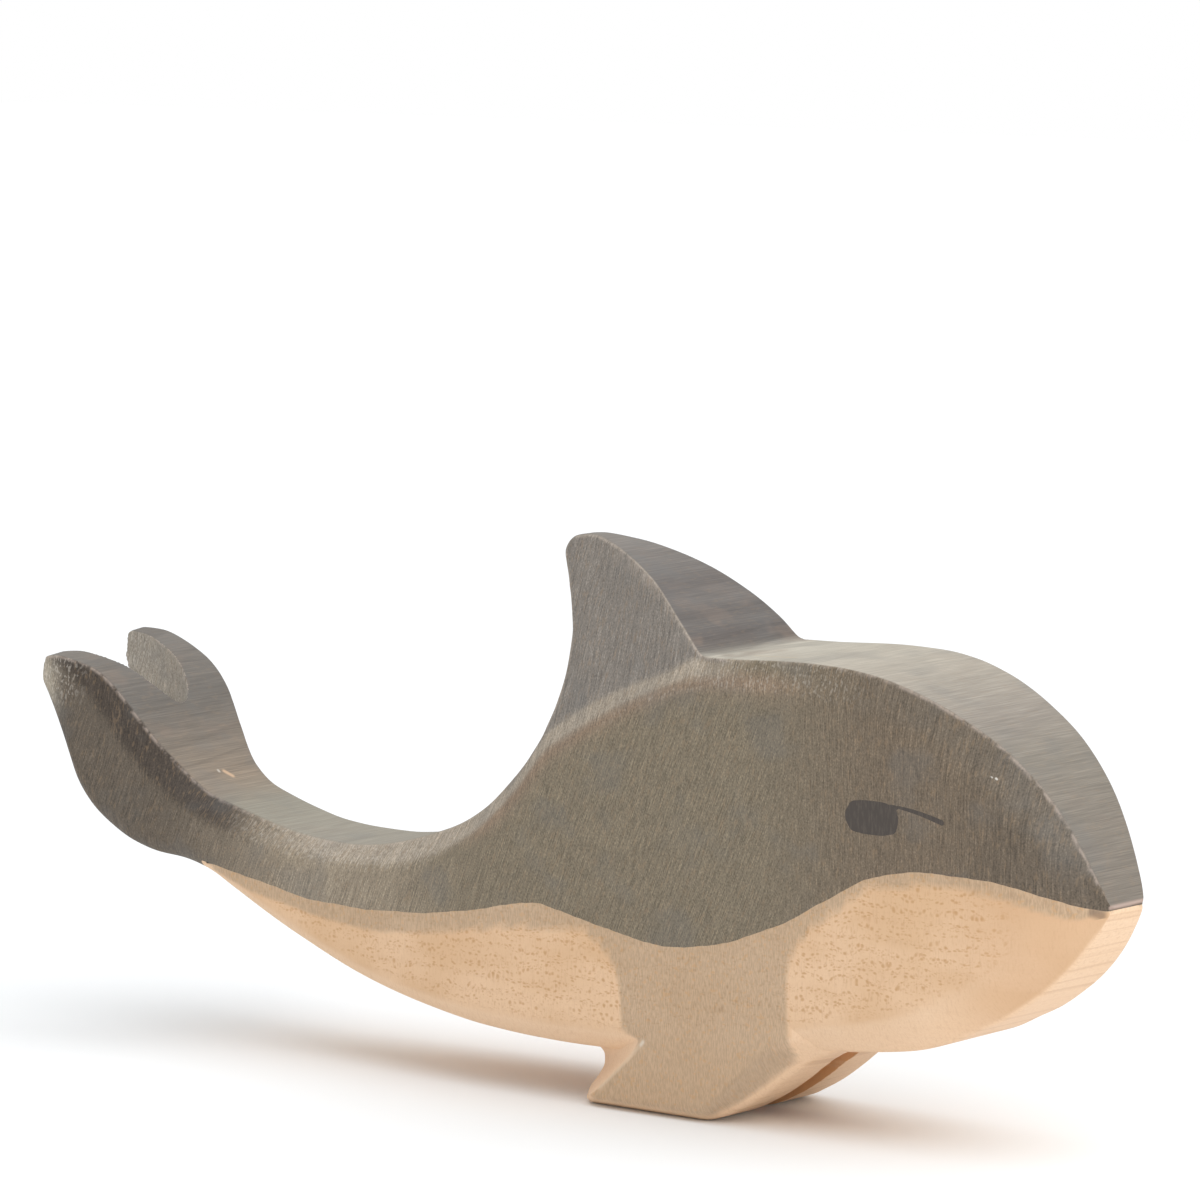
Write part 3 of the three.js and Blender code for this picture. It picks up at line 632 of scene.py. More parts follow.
        below_ridge, fin_start, fin_end, blend, fluke_start, fluke_end = 0.28, 22, 40, 2, 0.5, 5
        ridge_widths = [(at, low + share * (high - low)) for at, share, high, low in self.ridge_shares]
        ridge = side_point(self.upper, ridge_widths)
        top = side_point(self.flank_top, self.flank_widths)
        bottom = side_point(self.flank_bottom, self.flank_widths)
        under = side_point(self.lower, self.underside_widths)
        foot = side_point(self.foot, self.foot_widths)
        share = smooth(stations, fin_start, fin_start + blend)
        share = (share * (1 - smooth(stations, fin_end - blend, fin_end)))[:, None]
        middle = (ridge + below_ridge * (top - ridge)) * (1 - share) + foot * share
        right = np.stack([ridge, middle, top, bottom, under], axis=1)
        left = right.copy()
        left[:, :, 0] -= (1 - smooth(stations, fluke_start, fluke_end))[:, None] * self.left_extra_length
        left[:, :3, 2] += (1 - smooth(stations, 0, fluke_end))[:, None] * self.left_extra_height
        right[:, :, 1] *= -1
        return np.concatenate([left, right[:, ::-1]], axis=1)

    def reaches(self, stations: Array) -> Array:
        """How far the rounding of each corner reaches: crisp ridges, soft shoulders.

        Args:
            stations: positions from the fluke tips to the nose.

        Returns:
            Stations by ten corners, in millimetres.
        """
        tip = smooth(stations, 29, 30.5) * smooth(stations, 34, 32)
        ridge = 0.55 + 0.5 * tip + 0.35 * smooth(stations, 9, 6)
        foot = 2.6 * smooth(stations, 22.5, 24) * smooth(stations, 39.5, 38) + 0.5
        on_head = smooth(stations, 42, 46)
        top = 2.2 + 4.2 * on_head * smooth(stations, 53, 50) + 0.8 * smooth(stations, 8, 4)
        bottom = 2.0 + 2.5 * smooth(stations, 43, 47) * smooth(stations, 54, 50)
        under = np.full_like(stations, 1.2)
        side = np.stack([ridge, foot, top, bottom, under], axis=1)
        return np.concatenate([side, side[:, ::-1]], axis=1)

    def build(self) -> bpy.types.Object:
        """Lofts the rings and closes both ends with a fan.

        Near an end the rings shrink like a quarter circle: at a distance d from it their half width
        and half height lose r - sqrt(r^2 - (r - d)^2).

        Returns:
            A closed object in millimetres.
        """
        end_rings, most_lost, least_kept = 6, 0.9, 0.05
        last = self.upper[-1][0]
        body = np.arange(1, last * self.steps) / self.steps
        close = np.linspace(0, 1, end_rings + 1)[:-1] ** 2 / self.steps
        stations = np.concatenate([close, body, last - close[::-1]])
        rings = rounded(self.corners(stations), self.reaches(stations), self.pieces, True)
        centre = (rings.max(1) + rings.min(1)) / 2
        half = (rings.max(1) - rings.min(1)) / 2
        travelled = np.concatenate([[0], np.cumsum(np.linalg.norm(np.diff(centre, axis=0), axis=1))])
        from_end = np.minimum(travelled, travelled[-1] - travelled)
        nearer_nose = travelled > travelled[-1] / 2
        r = np.where(nearer_nose, self.nose_rounding, self.tail_rounding)
        loss = r - np.sqrt(np.maximum(r ** 2 - np.maximum(r - from_end, 0) ** 2, 0))
        kept = np.ones_like(half)
        share = most_lost * loss[:, None] / np.maximum(half[:, 1:], r[:, None])
        kept[:, 1:] = np.maximum(1 - share, least_kept)
        rings = centre[:, None] + (rings - centre[:, None]) * kept[:, None]
        rows, columns = rings.shape[:2]
        around = np.arange(columns)
        after = (around + 1) % columns
        tail, nose = rows * columns, rows * columns + 1
        last_row = (rows - 1) * columns
        fans = [(tail, around, after), (nose, last_row + after, last_row + around)]
        points = np.vstack([rings.reshape(-1, 3), rings[[0, -1]].mean(1)])
        return mesh_of("trunk", points, closed_by_fans(grid_faces(rows, columns, True), fans))


@dataclass(frozen=True)
class Flippers:
    """Both flippers and the belly between them as one block, before the gap is cut.

    Each row of the outline holds x and z of the block's edge, half its width there as a share of the
    belly's, and x and z of the flank's edge beside it. The reaches are those of the rounding at a
    profile's corners, and the pieces are those of its sides.
    """

    steps: int = 9
    middle: tuple[float, float] = (38.0, 12.0)
    sink: float = 0.02
    reaches: tuple[float, ...] = (0, 1.6, 1.0, 1.0, 1.6, 0)
    pieces: tuple[int, ...] = (12, 3, 12, 3, 12)
    outline: Rows = (
        (16, 12.5, 0.78, 29, 15), (11, 9.8, 0.78, 27.6, 13.2), (12.7, 9.1, 0.76, 26.8, 12.2),
        (13.7, 7.9, 0.75, 25.4, 10.8), (13.9, 6.3, 0.77, 23.8, 9.1), (13.2, 4.4, 0.82, 21.3, 6.8),
        (12.3, 2.2, 0.92, 17.9, 3.8), (12.4, 0.8, 0.97, 15.6, 2.1),
        (14.2, 0, 0.99, 16.8, 1.5), (25, 0, 0.99, 26, 1.5), (37, 0, 0.99, 38.4, 1.8),
        (41, 0.8, 0.98, 41.6, 3.3), (44.2, 2.3, 0.97, 44.2, 5.6), (47.6, 4.2, 0.96, 47, 8.4),
        (52, 7.2, 0.93, 50.3, 11.4), (56.2, 10.4, 0.9, 53.5, 13.9), (60.4, 13, 0.88, 56, 15.4),
        (63.4, 14.6, 0.88, 58.5, 17.4), (62, 19, 0.86, 58, 19.5), (20, 19, 0.9, 28, 19.5),
    )

    def build(self) -> bpy.types.Object:
        """Sweeps the profile flank, bevel, edge, bevel, flank round the outline.

        Each profile starts and ends at the middle of a flank, where the sweep closes to a pole.

        Returns:
            A closed object in millimetres.
        """
        rows = [(i, *row) for i, row in enumerate([*self.outline, self.outline[0]])]
        at = np.arange(len(self.outline) * self.steps) / self.steps
        x, z, share, flank_x, flank_z = Curve(rows)(at).T
        flank, ones = np.full(len(at), HALF_BOARD - self.sink), np.ones(len(at))
        pole = np.stack([ones * self.middle[0], flank, ones * self.middle[1]], axis=1)
        side = [
            pole,
            np.stack([flank_x, flank, flank_z], axis=1),
            np.stack([x, share * BELLY_WIDTH / 2, z], axis=1),
        ]
        mirror = np.array([1, -1, 1])
        corners = np.stack([*side, *(point * mirror for point in side[::-1])], axis=1)
        grid = rounded(corners, np.tile(self.reaches, (len(at), 1)), self.pieces, False)
        count, width = grid.shape[0], grid.shape[1] - 2
        around = np.arange(count) * width
        after = np.roll(around, -1)
        left, right = count * width, count * width + 1
        fans = [(left, after, around), (right, around + width - 1, after + width - 1)]
        faces = grid_faces(count + 1, width, False) % (count * width)
        points = np.vstack([grid[:, 1:-1].reshape(-1, 3), grid[0, [0, -1]]])
        return mesh_of("flippers", points, closed_by_fans(faces, fans))


@dataclass(frozen=True)
class Gaps:
    """The gap between the flippers and the notch between the flukes."""

    slot_width: float = 6.0
    slot_rear: tuple[float, float] = (11.5, 9.8)
    slot_front: tuple[float, float] = (66.0, 13.1)
    slot_below: float = -1.5
    notch_open: float = -111.1
    notch_depth: float = 19.8
    notch_width: float = 21.8
    notch_reach: float = 2.0
    notch_points: int = 26
    notch_foot: float = 28.0
    notch_top: float = 76.0
    mesh: float = 1.0

    def prism(self, name: str, outline: Array, offset: Array) -> bpy.types.Object:
        """Makes a closed prism: an outline carried along an offset in short steps.

        Args:
            name: the object's name.
            outline: corners in order, three columns.
            offset: where the far end lies.

        Returns:
            The object, with its faces turned outwards.
        """
        corners = np.vstack([outline, outline[:1]])
        length = np.linalg.norm(np.diff(corners, axis=0), axis=1)
        pieces = np.maximum(np.ceil(length / self.mesh), 1).astype(int)
        at = np.concatenate([np.arange(n) / n + i for i, n in enumerate(pieces)])
        ring = np.stack([np.interp(at, np.arange(len(corners)), corners[:, k]) for k in range(3)], axis=1)
        rows, count = int(np.ceil(np.linalg.norm(offset) / self.mesh)) + 1, len(ring)
        share = np.linspace(0, 1, rows)[:, None, None]
        around = np.arange(count)
        ends = [around.tolist(), (around + (rows - 1) * count)[::-1].tolist()]
        faces = [*grid_faces(rows, count, True).tolist(), *ends]
        made = mesh_of(name, (ring + share * offset).reshape(-1, 3), faces)
        if sum(face.center.dot(face.normal) * face.area for face in made.data.polygons) < 0:
            made.data.flip_normals()
        return made

    def slot(self) -> bpy.types.Object:
        """Makes the prism that is cut out between the flippers, its roof sloping up to the front.

        Returns:
            The object.
        """
        (x0, z0), (x1, z1), below = self.slot_rear, self.slot_front, self.slot_below
        y = -self.slot_width / 2
        outline = np.array([(x0, y, below), (x1, y, below), (x1, y, z1), (x0, y, z0)])
        return self.prism("slot", outline, np.array([0, self.slot_width, 0]))

    def notch(self) -> bpy.types.Object:
        """Makes the prism that is cut out between the flukes, a parabola in plan.

        Its half width is half the notch's width times the square root of the depth's share.

        Returns:
            The object.
        """
        share = np.linspace(0, np.sqrt(self.notch_reach), self.notch_points) ** 2
        half = self.notch_width / 2 * np.sqrt(share)
        x = self.notch_open + self.notch_depth * (1 - share)
        one = np.stack([x, half, np.full_like(x, self.notch_foot)], axis=1)
        other = one[:0:-1] * np.array([1, -1, 1])
        height = np.array([0, 0, self.notch_top - self.notch_foot])
        return self.prism("notch", np.vstack([other, one]), height)


def carved() -> Surface:
    """Joins trunk and flippers, cuts out slot and notch, and sands the edges that are left.

    Returns:
        The whole outer surface.
    """
    rim_angle, rim_reach, rim_mesh, sanded, sanded_reach = 38, 1.1, 0.42, 0.16, 0.9
    trunk, flippers, slot, notch = Trunk().build(), Flippers().build(), Gaps().slot(), Gaps().notch()
    for operation, tool in (("UNION", flippers), ("DIFFERENCE", slot), ("DIFFERENCE", notch)):
        step = trunk.modifiers.new(operation, "BOOLEAN")
        step.operation, step.object, step.solver = operation, tool, "EXACT"
    solid = trunk.evaluated_get(bpy.context.evaluated_depsgraph_get()).to_mesh()
    solid.calc_loop_triangles()
    points = np.zeros(len(solid.vertices) * 3, np.float32)
    solid.vertices.foreach_get("co", points)
    corners = np.zeros(len(solid.loop_triangles) * 3, np.int32)
    solid.loop_triangles.foreach_get("vertices", corners)
    for used in (trunk, flippers, slot, notch):
        bpy.data.objects.remove(used)
    triangles = corners.reshape(-1, 3).astype(np.int64)
    surface = Surface(points.reshape(-1, 3).astype(float), triangles, np.full(len(triangles), Zone.BARE))
    for _ in range(3):
        surface = surface.refined(surface.from_rims(rim_angle)[0] < rim_reach, rim_mesh)
    return surface.blunted(rim_angle, sanded, sanded_reach)


@dataclass(frozen=True)
class Coats:
    """Where the stain, the wash and the eye paint end, as lines in the side view (x, z).

    Each of the brush's waves is a share and its turns along x and z in radians a millimetre, with
    the turn that it starts at.
    """

    brush_wobble: float = 0.07
    waves: Rows = ((1, 0.45, 0.3, 0), (0.5, 1.3, 0, 1.3), (0.35, 2.9, -0.6, 0))
    soft_edge: float = 0.9
    eye_from_nose: float = 38.8
    eye_above_floor: float = 55.0
    eye_length: float = 10.4
    eye_height: float = 5.6
    brow_length: float = 13.6
    brow_width: float = 1.0
    stain_edge: Rows = (
        (-76.4, 32.3), (-64, 30.4), (-52, 28.4), (-42, 28), (-33, 28.2), (-20, 29.3), (-8, 31.4),
        (0, 33.2), (4.5, 33.7), (9.4, 32.8), (20.4, 30.8), (26, 29.7), (31.5, 29.3), (38, 29.8),
        (44, 31.1), (50.5, 33.3), (58, 36.5), (63, 39.3), (68.2, 42.2), (73.2, 44.7), (78.4, 46.2),
        (83.4, 46.9), (88, 47), (92.2, 46.9), (96.5, 46.5), (101, 45.6), (106, 44.1),
        (109.5, 42.9), (112, 42.2), (116, 42),
    )
    wash_rear: Rows = (
        (-73.5, 30.6), (-64, 28), (-54.6, 26.4), (-46, 25.2), (-37.5, 24.6), (-29, 24.9),
        (-13, 27.1), (-2, 28.8), (9.4, 29.8), (12.7, 30), (16.1, 29.2), (19.3, 26.9),
        (21.3, 24.4), (22.3, 20.3), (22.6, 14),
    )
    wash_flipper: Rows = (
        (25.8, 12.4), (24.9, 9.9), (21.6, 6.9), (17.9, 3.6), (15.8, 2), (16.4, 1.3), (39.9, 1.3),
        (41.2, 1.8), (43.8, 3), (46.8, 5), (51.2, 8.2), (55, 11.1), (57.2, 13.2),
    )
    wash_front: Rows = (
        (57.4, 16.6), (57.3, 27), (58.1, 30.8), (60, 33.4), (63, 36), (67, 38.7), (71.2, 41.9),
        (75.2, 43.6), (80, 44.3), (88, 45), (92.3, 44.8), (97, 44.2), (103, 42.4), (107, 41.2),
        (109.4, 41), (112, 41.9), (116, 41.9),
    )

    def wobble(self, points: Array) -> Array:
        """Small waves of a hand-held brush along x and z.

        Args:
            points: the surface's points.

        Returns:
            Millimetres for each point.
        """
        x, y, z = points.T
        waves = sum(share * np.sin(x * along + z * up + start) for share, along, up, start in self.waves)
        return self.brush_wobble * waves * np.where(y > 0, 1, -1)

    def stain(self, points: Array) -> Array:
        """Distance above the stain's lower edge; everything on the tail counts as above.

        Args:
            points: the surface's points.

        Returns:
            Millimetres for each point, positive in the stain.
        """
        edge = through_points(self.stain_edge, 6)
        left, right, high, low = -150, 150, 150, -50
        box = [(right, edge[-1, 1]), (right, high), (left, high), (left, low), (edge[0, 0], low)]
        return signed_distance(np.vstack([edge, box]), points[:, [0, 2]]) + self.wobble(points)

    def wash(self, points: Array) -> Array:
        """Distance inside the wash's lower edge; its upper edge lies under the stain.

        Args:
            points: the surface's points.

        Returns:
            Millimetres for each point, positive in the wash.
        """
        over_stain = 4
        top = through_points(self.stain_edge, 2)[::-1] + np.array([0, over_stain])
        rear, front = through_points(self.wash_rear, 6), through_points(self.wash_front, 6)
        outline = np.vstack([rear, self.wash_flipper, front, top])
        return signed_distance(outline, points[:, [0, 2]]) + self.wobble(points)

    def eye(self, points: Array, nose: float) -> Array:
        """Distance inside the eye's blob or its brow line.

        The blob is |u / a|^p + |v / b|^p = 1 with a ragged edge, and the brow falls as the square of
        its length.

        Args:
            points: the surface's points.
            nose: the nose's x.

        Returns:
            One distance for each point, positive inside.
        """
        power, thin, thicker = 3.1, 0.34, 0.62
        ragged, along, up, start_turn = 0.12, 2.3, 1.7, 0.8
        a, b = self.eye_length / 2, self.eye_height / 2
        u = points[:, 0] - (nose - self.eye_from_nose)
        v = points[:, 2] - self.eye_above_floor
        reach = (np.abs(u / a) ** power + np.abs(v / b) ** power) ** (1 / power)
        blob = (1 - reach) * b + ragged * np.sin(along * u + start_turn) * np.cos(up * v)
        start, top, fall = self.eye_length / 5, 0.42 * self.eye_height, 0.14 * self.brow_length
        share = np.clip((u - start) / (self.brow_length - start), 0, 1)
        half = self.brow_width / 2 * (thin + thicker * share)
        over = np.hypot(u - start - share * (self.brow_length - start), v - top + fall * share ** 2)
        return np.maximum(blob, half - over)

    def divide(self, surface: Surface) -> Surface:
        """Cuts the surface along the edges of all the coats.

        The wash ends a little before the middle of the nose, and the eyes are only on the flanks.

        Args:
            surface: the whole surface, all bare.

        Returns:
            The surface with its zones.
        """
        eye_reach, eye_off_middle, flank_off_middle = 1.5, 5, 8
        wash_off_middle, wash_widening = 3.4, 0.7
        nose = surface.points[:, 0].max()
        for longest in (0.7, 0.35):
            on_flank = np.abs(surface.points[:, 1]) > flank_off_middle
            surface = surface.refined((self.eye(surface.points, nose) > -eye_reach) & on_flank, longest)
        surface = surface.split(self.stain(surface.points), Zone.STAIN, Zone.BARE)
        for side, wash, eye in ((-1, Zone.WASH_RIGHT, Zone.EYE_RIGHT), (1, Zone.WASH_LEFT, Zone.EYE_LEFT)):
            points = surface.points
            widened = wash_off_middle + wash_widening * np.maximum(nose - points[:, 0], 0)
            beside = side * points[:, 1] - np.minimum(flank_off_middle, widened)
            surface = surface.split(np.minimum(self.wash(points) + self.soft_edge, beside), wash, Zone.BARE)
            beside = side * surface.points[:, 1] - eye_off_middle
            surface = surface.split(np.minimum(self.eye(surface.points, nose), beside), eye, Zone.STAIN)
        return surface


@dataclass(frozen=True)
class Region:
    """A colour that is laid over the stain's mix, as strong as its share times all its ramps."""

    colour: str
    share: float
    ramps: tuple[Ramp | str, ...]


@dataclass(frozen=True)
class Tone:
    """Colours of the stained wood by place.

    They started from mean colours read off patches of the photo, and were then corrected from
    renders. The flank's colour comes first, then each region over it, then the ribbon along the
    figure's upper edge, whose rows hold x and the colour there.
    """

    flank: str = "#887d6a"
    regions: tuple[Region, ...] = (
        # Head, its front and its crest
        Region("#7c6e5d", 1, (("x", 45, 80),)),
        Region("#695e51", 0.85, (("x", 84, 104),)),
        Region("#73695c", 0.75, (("x", 62, 80), ("in_body", 7.5, 2.5), ("z", 46, 56))),
        # Tail stock
        Region("#a39683", 1, (("x", -5, -45),)),
        # Shoulder, and the bevel above it
        Region("#998571", 1, ("on_shoulder", ("z", 40, 46), ("x", -30, -10), ("x", 66, 50))),
        Region("#b1a595", 1, (("in_flank", -0.5, -2), ("x", -66, -50), ("x", 50, 36))),
        # Fin
        Region("#8e877f", 1, (("in_fin", -0.6, 0.8),)),
        # Flukes, their tips, their bevel and the notch between them; the paler tips and the paler
        # notch wall are painted sheen
        Region("#695f53", 1, (("x", -46, -90),)),
        Region("#b8af9f", 1, (("x", -104, -110), ("z", 52, 60))),
        Region("#4d443c", 1, (("in_flank", 1.2, -1.2), "above", ("x", -63, -75), ("x", -112, -103))),
        Region("#a89f92", 1, ("notch",)),
    )
    # The ribbon's shades are partly the stain on the end grain and partly painted light: lightest along the
    # back, where the ribbon faces up, and darker on the head as it turns forward
    ribbon: tuple[tuple[float, str], ...] = (
        (-116, "#817b75"), (-104, "#7d7770"), (-92, "#6c6761"), (-80, "#908272"), (-70, "#959083"),
        (-50, "#a29c8f"), (-8, "#989183"), (-1, "#918b81"), (8, "#857f79"), (14, "#7e7974"),
        (22, "#716c68"), (25.5, "#67625f"), (29, "#706b67"), (31.5, "#635e5b"), (33, "#6e6965"),
        (34.8, "#605a57"), (36.4, "#6a645f"), (39.5, "#c9c3b5"), (55, "#c1baab"), (68, "#b9b1a3"),
        (80, "#a79f93"), (90, "#968e84"), (99, "#878075"), (114, "#7f776d"),
    )


class Shading:
    """What the materials need at each point: local colour, grain direction, worn edges, painted light."""

    def __init__(self, surface: Surface, trunk: Trunk, coats: Coats) -> None:
        """Measures where each point lies on the carved form.

        The left fluke counts as if it were as long as the right one. The measures are the place in
        the side view, how square the surface is to the side, the distance inside the outlines of
        flank, fin, body and wash, and shares for the upper side, the ribbon and the notch's wall.

        Args:
            surface: the divided surface.
            trunk: the outlines of the form.
            coats: the edges of the coats.
        """
        self.points, normal = surface.points, surface.normals()
        true_x, y, height = self.points.T
        left_end = np.where(y > 0, smooth(true_x, -98, -114), 0)
        x = true_x + left_end * trunk.left_extra_length
        z = height - left_end * trunk.left_extra_height
        whole, on_fin = np.arange(0, 54.1, 0.5), np.arange(22, 40.1, 0.5)
        side = np.abs(normal[:, 1])
        raised = 2 * smooth(z, 50, 58) * smooth(x, 60, 40)

        def inside(upper: Rows, lower: Rows, stations: Array) -> Array:
            """Distance inside the outline between two lines of the form."""
            outline = np.vstack([Curve(upper)(stations), Curve(lower)(stations)[::-1]])
            return signed_distance(outline, np.stack([x, z], axis=1))

        in_flank = inside(trunk.flank_top, trunk.flank_bottom, whole)
        in_body = inside(trunk.upper, trunk.lower, whole)
        self.measures = {
            "x": x, "z": z, "height": height, "off_middle": np.abs(y), "side": side,
            "in_flank": in_flank, "in_body": in_body, "in_wash": coats.wash(self.points),
            "in_fin": inside(trunk.upper, trunk.foot, on_fin),
            "above": smooth(normal[:, 2] + raised, -0.05, 0.1),
            "ribbon": smooth(side, 0.6, 0.25),
            "notch": smooth(-np.sign(y) * normal[:, 1], 0.3, 0.7) * smooth(true_x, -86, -90),
            "on_shoulder": bell(in_flank, -0.6, 1.7),
            "on_bevel_line": bell(in_flank, 0, 0.5),
            "on_arris": bell(in_body, 0.2, 0.28),
        }

    def at(self, *ramps: Ramp | str) -> Array:
        """Multiplies ramps.

        Args:
            ramps: ramps, or bare names of measures that are shares already.

        Returns:
            A share for each point.
        """
        shares = [self.measures[ramp] if isinstance(ramp, str)
                  else smooth(self.measures[ramp[0]], ramp[1], ramp[2]) for ramp in ramps]
        return np.prod(shares, axis=0)

    def stain_colour(self, tone: Tone) -> Array:
        """Mixes the stain's colour at each point.

        Args:
            tone: the colours.

        Returns:
            Linear red, green and blue for each point.
        """
        colour = np.tile(linear(tone.flank)[:3], (len(self.points), 1))
        for region in tone.regions:
            share = region.share * self.at(*region.ramps)[:, None]
            colour = colour + share * (np.array(linear(region.colour)[:3]) - colour)
        places = [at for at, _ in tone.ribbon]
        codes = np.array([linear(code)[:3] for _, code in tone.ribbon])
        along = np.stack([np.interp(self.measures["x"], places, codes[:, k]) for k in range(3)], axis=1)
        return colour + self.at("ribbon", "above")[:, None] * (along - colour)

    def wear_and_highlight(self) -> Array:
        """Where the ridge's arris looks worn and has a painted highlight, most on head, fin and flukes.

        Returns:
            A strength for each point.
        """
        more = (0.5 * self.at(("x", 60, 90)) + 0.6 * self.at(("in_fin", -1, 2))
                + 0.5 * self.at(("x", -66, -80)))
        return self.at("on_arris", ("side", 0.3, 0.6), "above") * (0.4 + more)

    def ticks_and_sheen(self) -> Array:
        """Where the stain lies in ticks with pale specks, and where pale specks are painted sheen.

        The ticks are on the upper bevels of stock and back and on a line along the shoulder; the specks
        on the fluke tips and on the notch's wall are painted sheen.

        Returns:
            A strength for each point.
        """
        off_ribbon = ("ribbon", 0.6, 0.2)
        bevel = self.at(("in_flank", 0.5, -0.8), "above", off_ribbon)
        return np.maximum.reduce([
            bevel * self.at(("x", -76, -62), ("x", -10, -26)),
            bevel * self.at(("x", 30, 42), ("x", 76, 64)),
            # Painted sheen: pale specks on the fluke tips and on the notch's wall
            1.6 * self.at(("x", -98, -106), ("z", 56, 62), off_ribbon),
            1.6 * self.at("notch", ("x", -101, -94)),
            1.2 * self.at("on_bevel_line", ("x", 12, 24), ("x", 74, 62), "above"),
        ])

    def attributes(self) -> dict[str, Array]:
        """Names the values for the materials.

        They are the stain's colour, its worn arris with a painted highlight, its ticks and painted sheen
        specks, how dark the growth layers show, how far streaks lean forward, how strong the flecks are,
        where the bare wood is painted paler as light from the floor and the front (bevels, jaw and
        flippers' edges), painted a darker brown as shade (nose) or darker and oranger (the gap's
        walls: sawn, oiled wood with painted warm bounce light), and where the wash lies, and where it is
        darkened as painted shade (the flipper's front bevel).

        Returns:
            The values by name; one with three columns is a colour.
        """
        # The nose's bare wood, turning towards the lamps, is painted a darker brown as shade
        nose = self.at(("x", 84, 104), ("side", 0.35, 0.6))
        low_fin = self.at(("in_fin", -1.5, -0.2), ("z", 88, 80), ("x", 10, 20))
        return {
            "tone": self.stain_colour(Tone()),
            "wear_and_highlight": self.wear_and_highlight(),
            "ticks_and_sheen": self.ticks_and_sheen(),
            "bands": self.at("ribbon") * (0.07 + 0.11 * self.at(("x", -70, -84)) + 0.2 * low_fin),
            "lean": self.at(("in_flank", 0, 2), ("x", 66, 48)),
            "fleck": self.at(("in_flank", 0.2, 2.2), ("side", 0.9, 0.98)),
            "ribbon": self.at("ribbon"),
            # Bare wood that doesn't face the side is painted paler, as light from the floor and the front
            "pale": self.at(("side", 0.985, 0.9)) * (1 - nose),
            "nose": nose,
            # The gap's walls: sawn, oiled wood, darker and oranger, partly painted warm bounce light
            "sawn": self.at(("off_middle", 3.3, 2.8), ("z", 15, 13.5), ("height", 0.1, 0.5)),
            "wash": self.at(("in_wash", -0.45, 0.45)),
            "shade": 0.55 * self.at(("side", 0.985, 0.95), ("z", 15.5, 13), ("x", 36, 43)),
        }


def add_node(tree: bpy.types.NodeTree, kind: str, feeds: dict | None = None,
             **settings: object) -> bpy.types.Node:
    """Adds a node with its settings and links.

    Args:
        tree: the material's nodes.
        kind: the node's type, without the leading ShaderNode.
        feeds: by input name or number, the socket that feeds it or the value that it holds.
        settings: the node's own properties.

    Returns:
        The node.
    """
    node = tree.nodes.new("ShaderNode" + kind)
    for name, value in settings.items():
        setattr(node, name, value)
    for name, value in (feeds or {}).items():
        if isinstance(value, Socket):
            tree.links.new(value, node.inputs[name])
        else:
            node.inputs[name].default_value = value
    return node


def new_material(name: str, feeds: dict) -> tuple[bpy.types.Material, bpy.types.NodeTree]:
    """Starts a material.

    Args:
        name: its name.
        feeds: by input name, the values of its surface shader.

    Returns:
        The material and its nodes.
    """
    material = bpy.data.materials.new(name)
    material.use_nodes = True
    for key, value in feeds.items():
        material.node_tree.nodes["Principled BSDF"].inputs[key].default_value = value
    return material, material.node_tree


@dataclass(frozen=True)
class Mark:
    """A small worn or stained stroke, or a painted highlight, on the figure, from one place to another in
    millimetres.
    """

    start: Size
    end: Size
    half_width: float
    colour: str
    strength: float


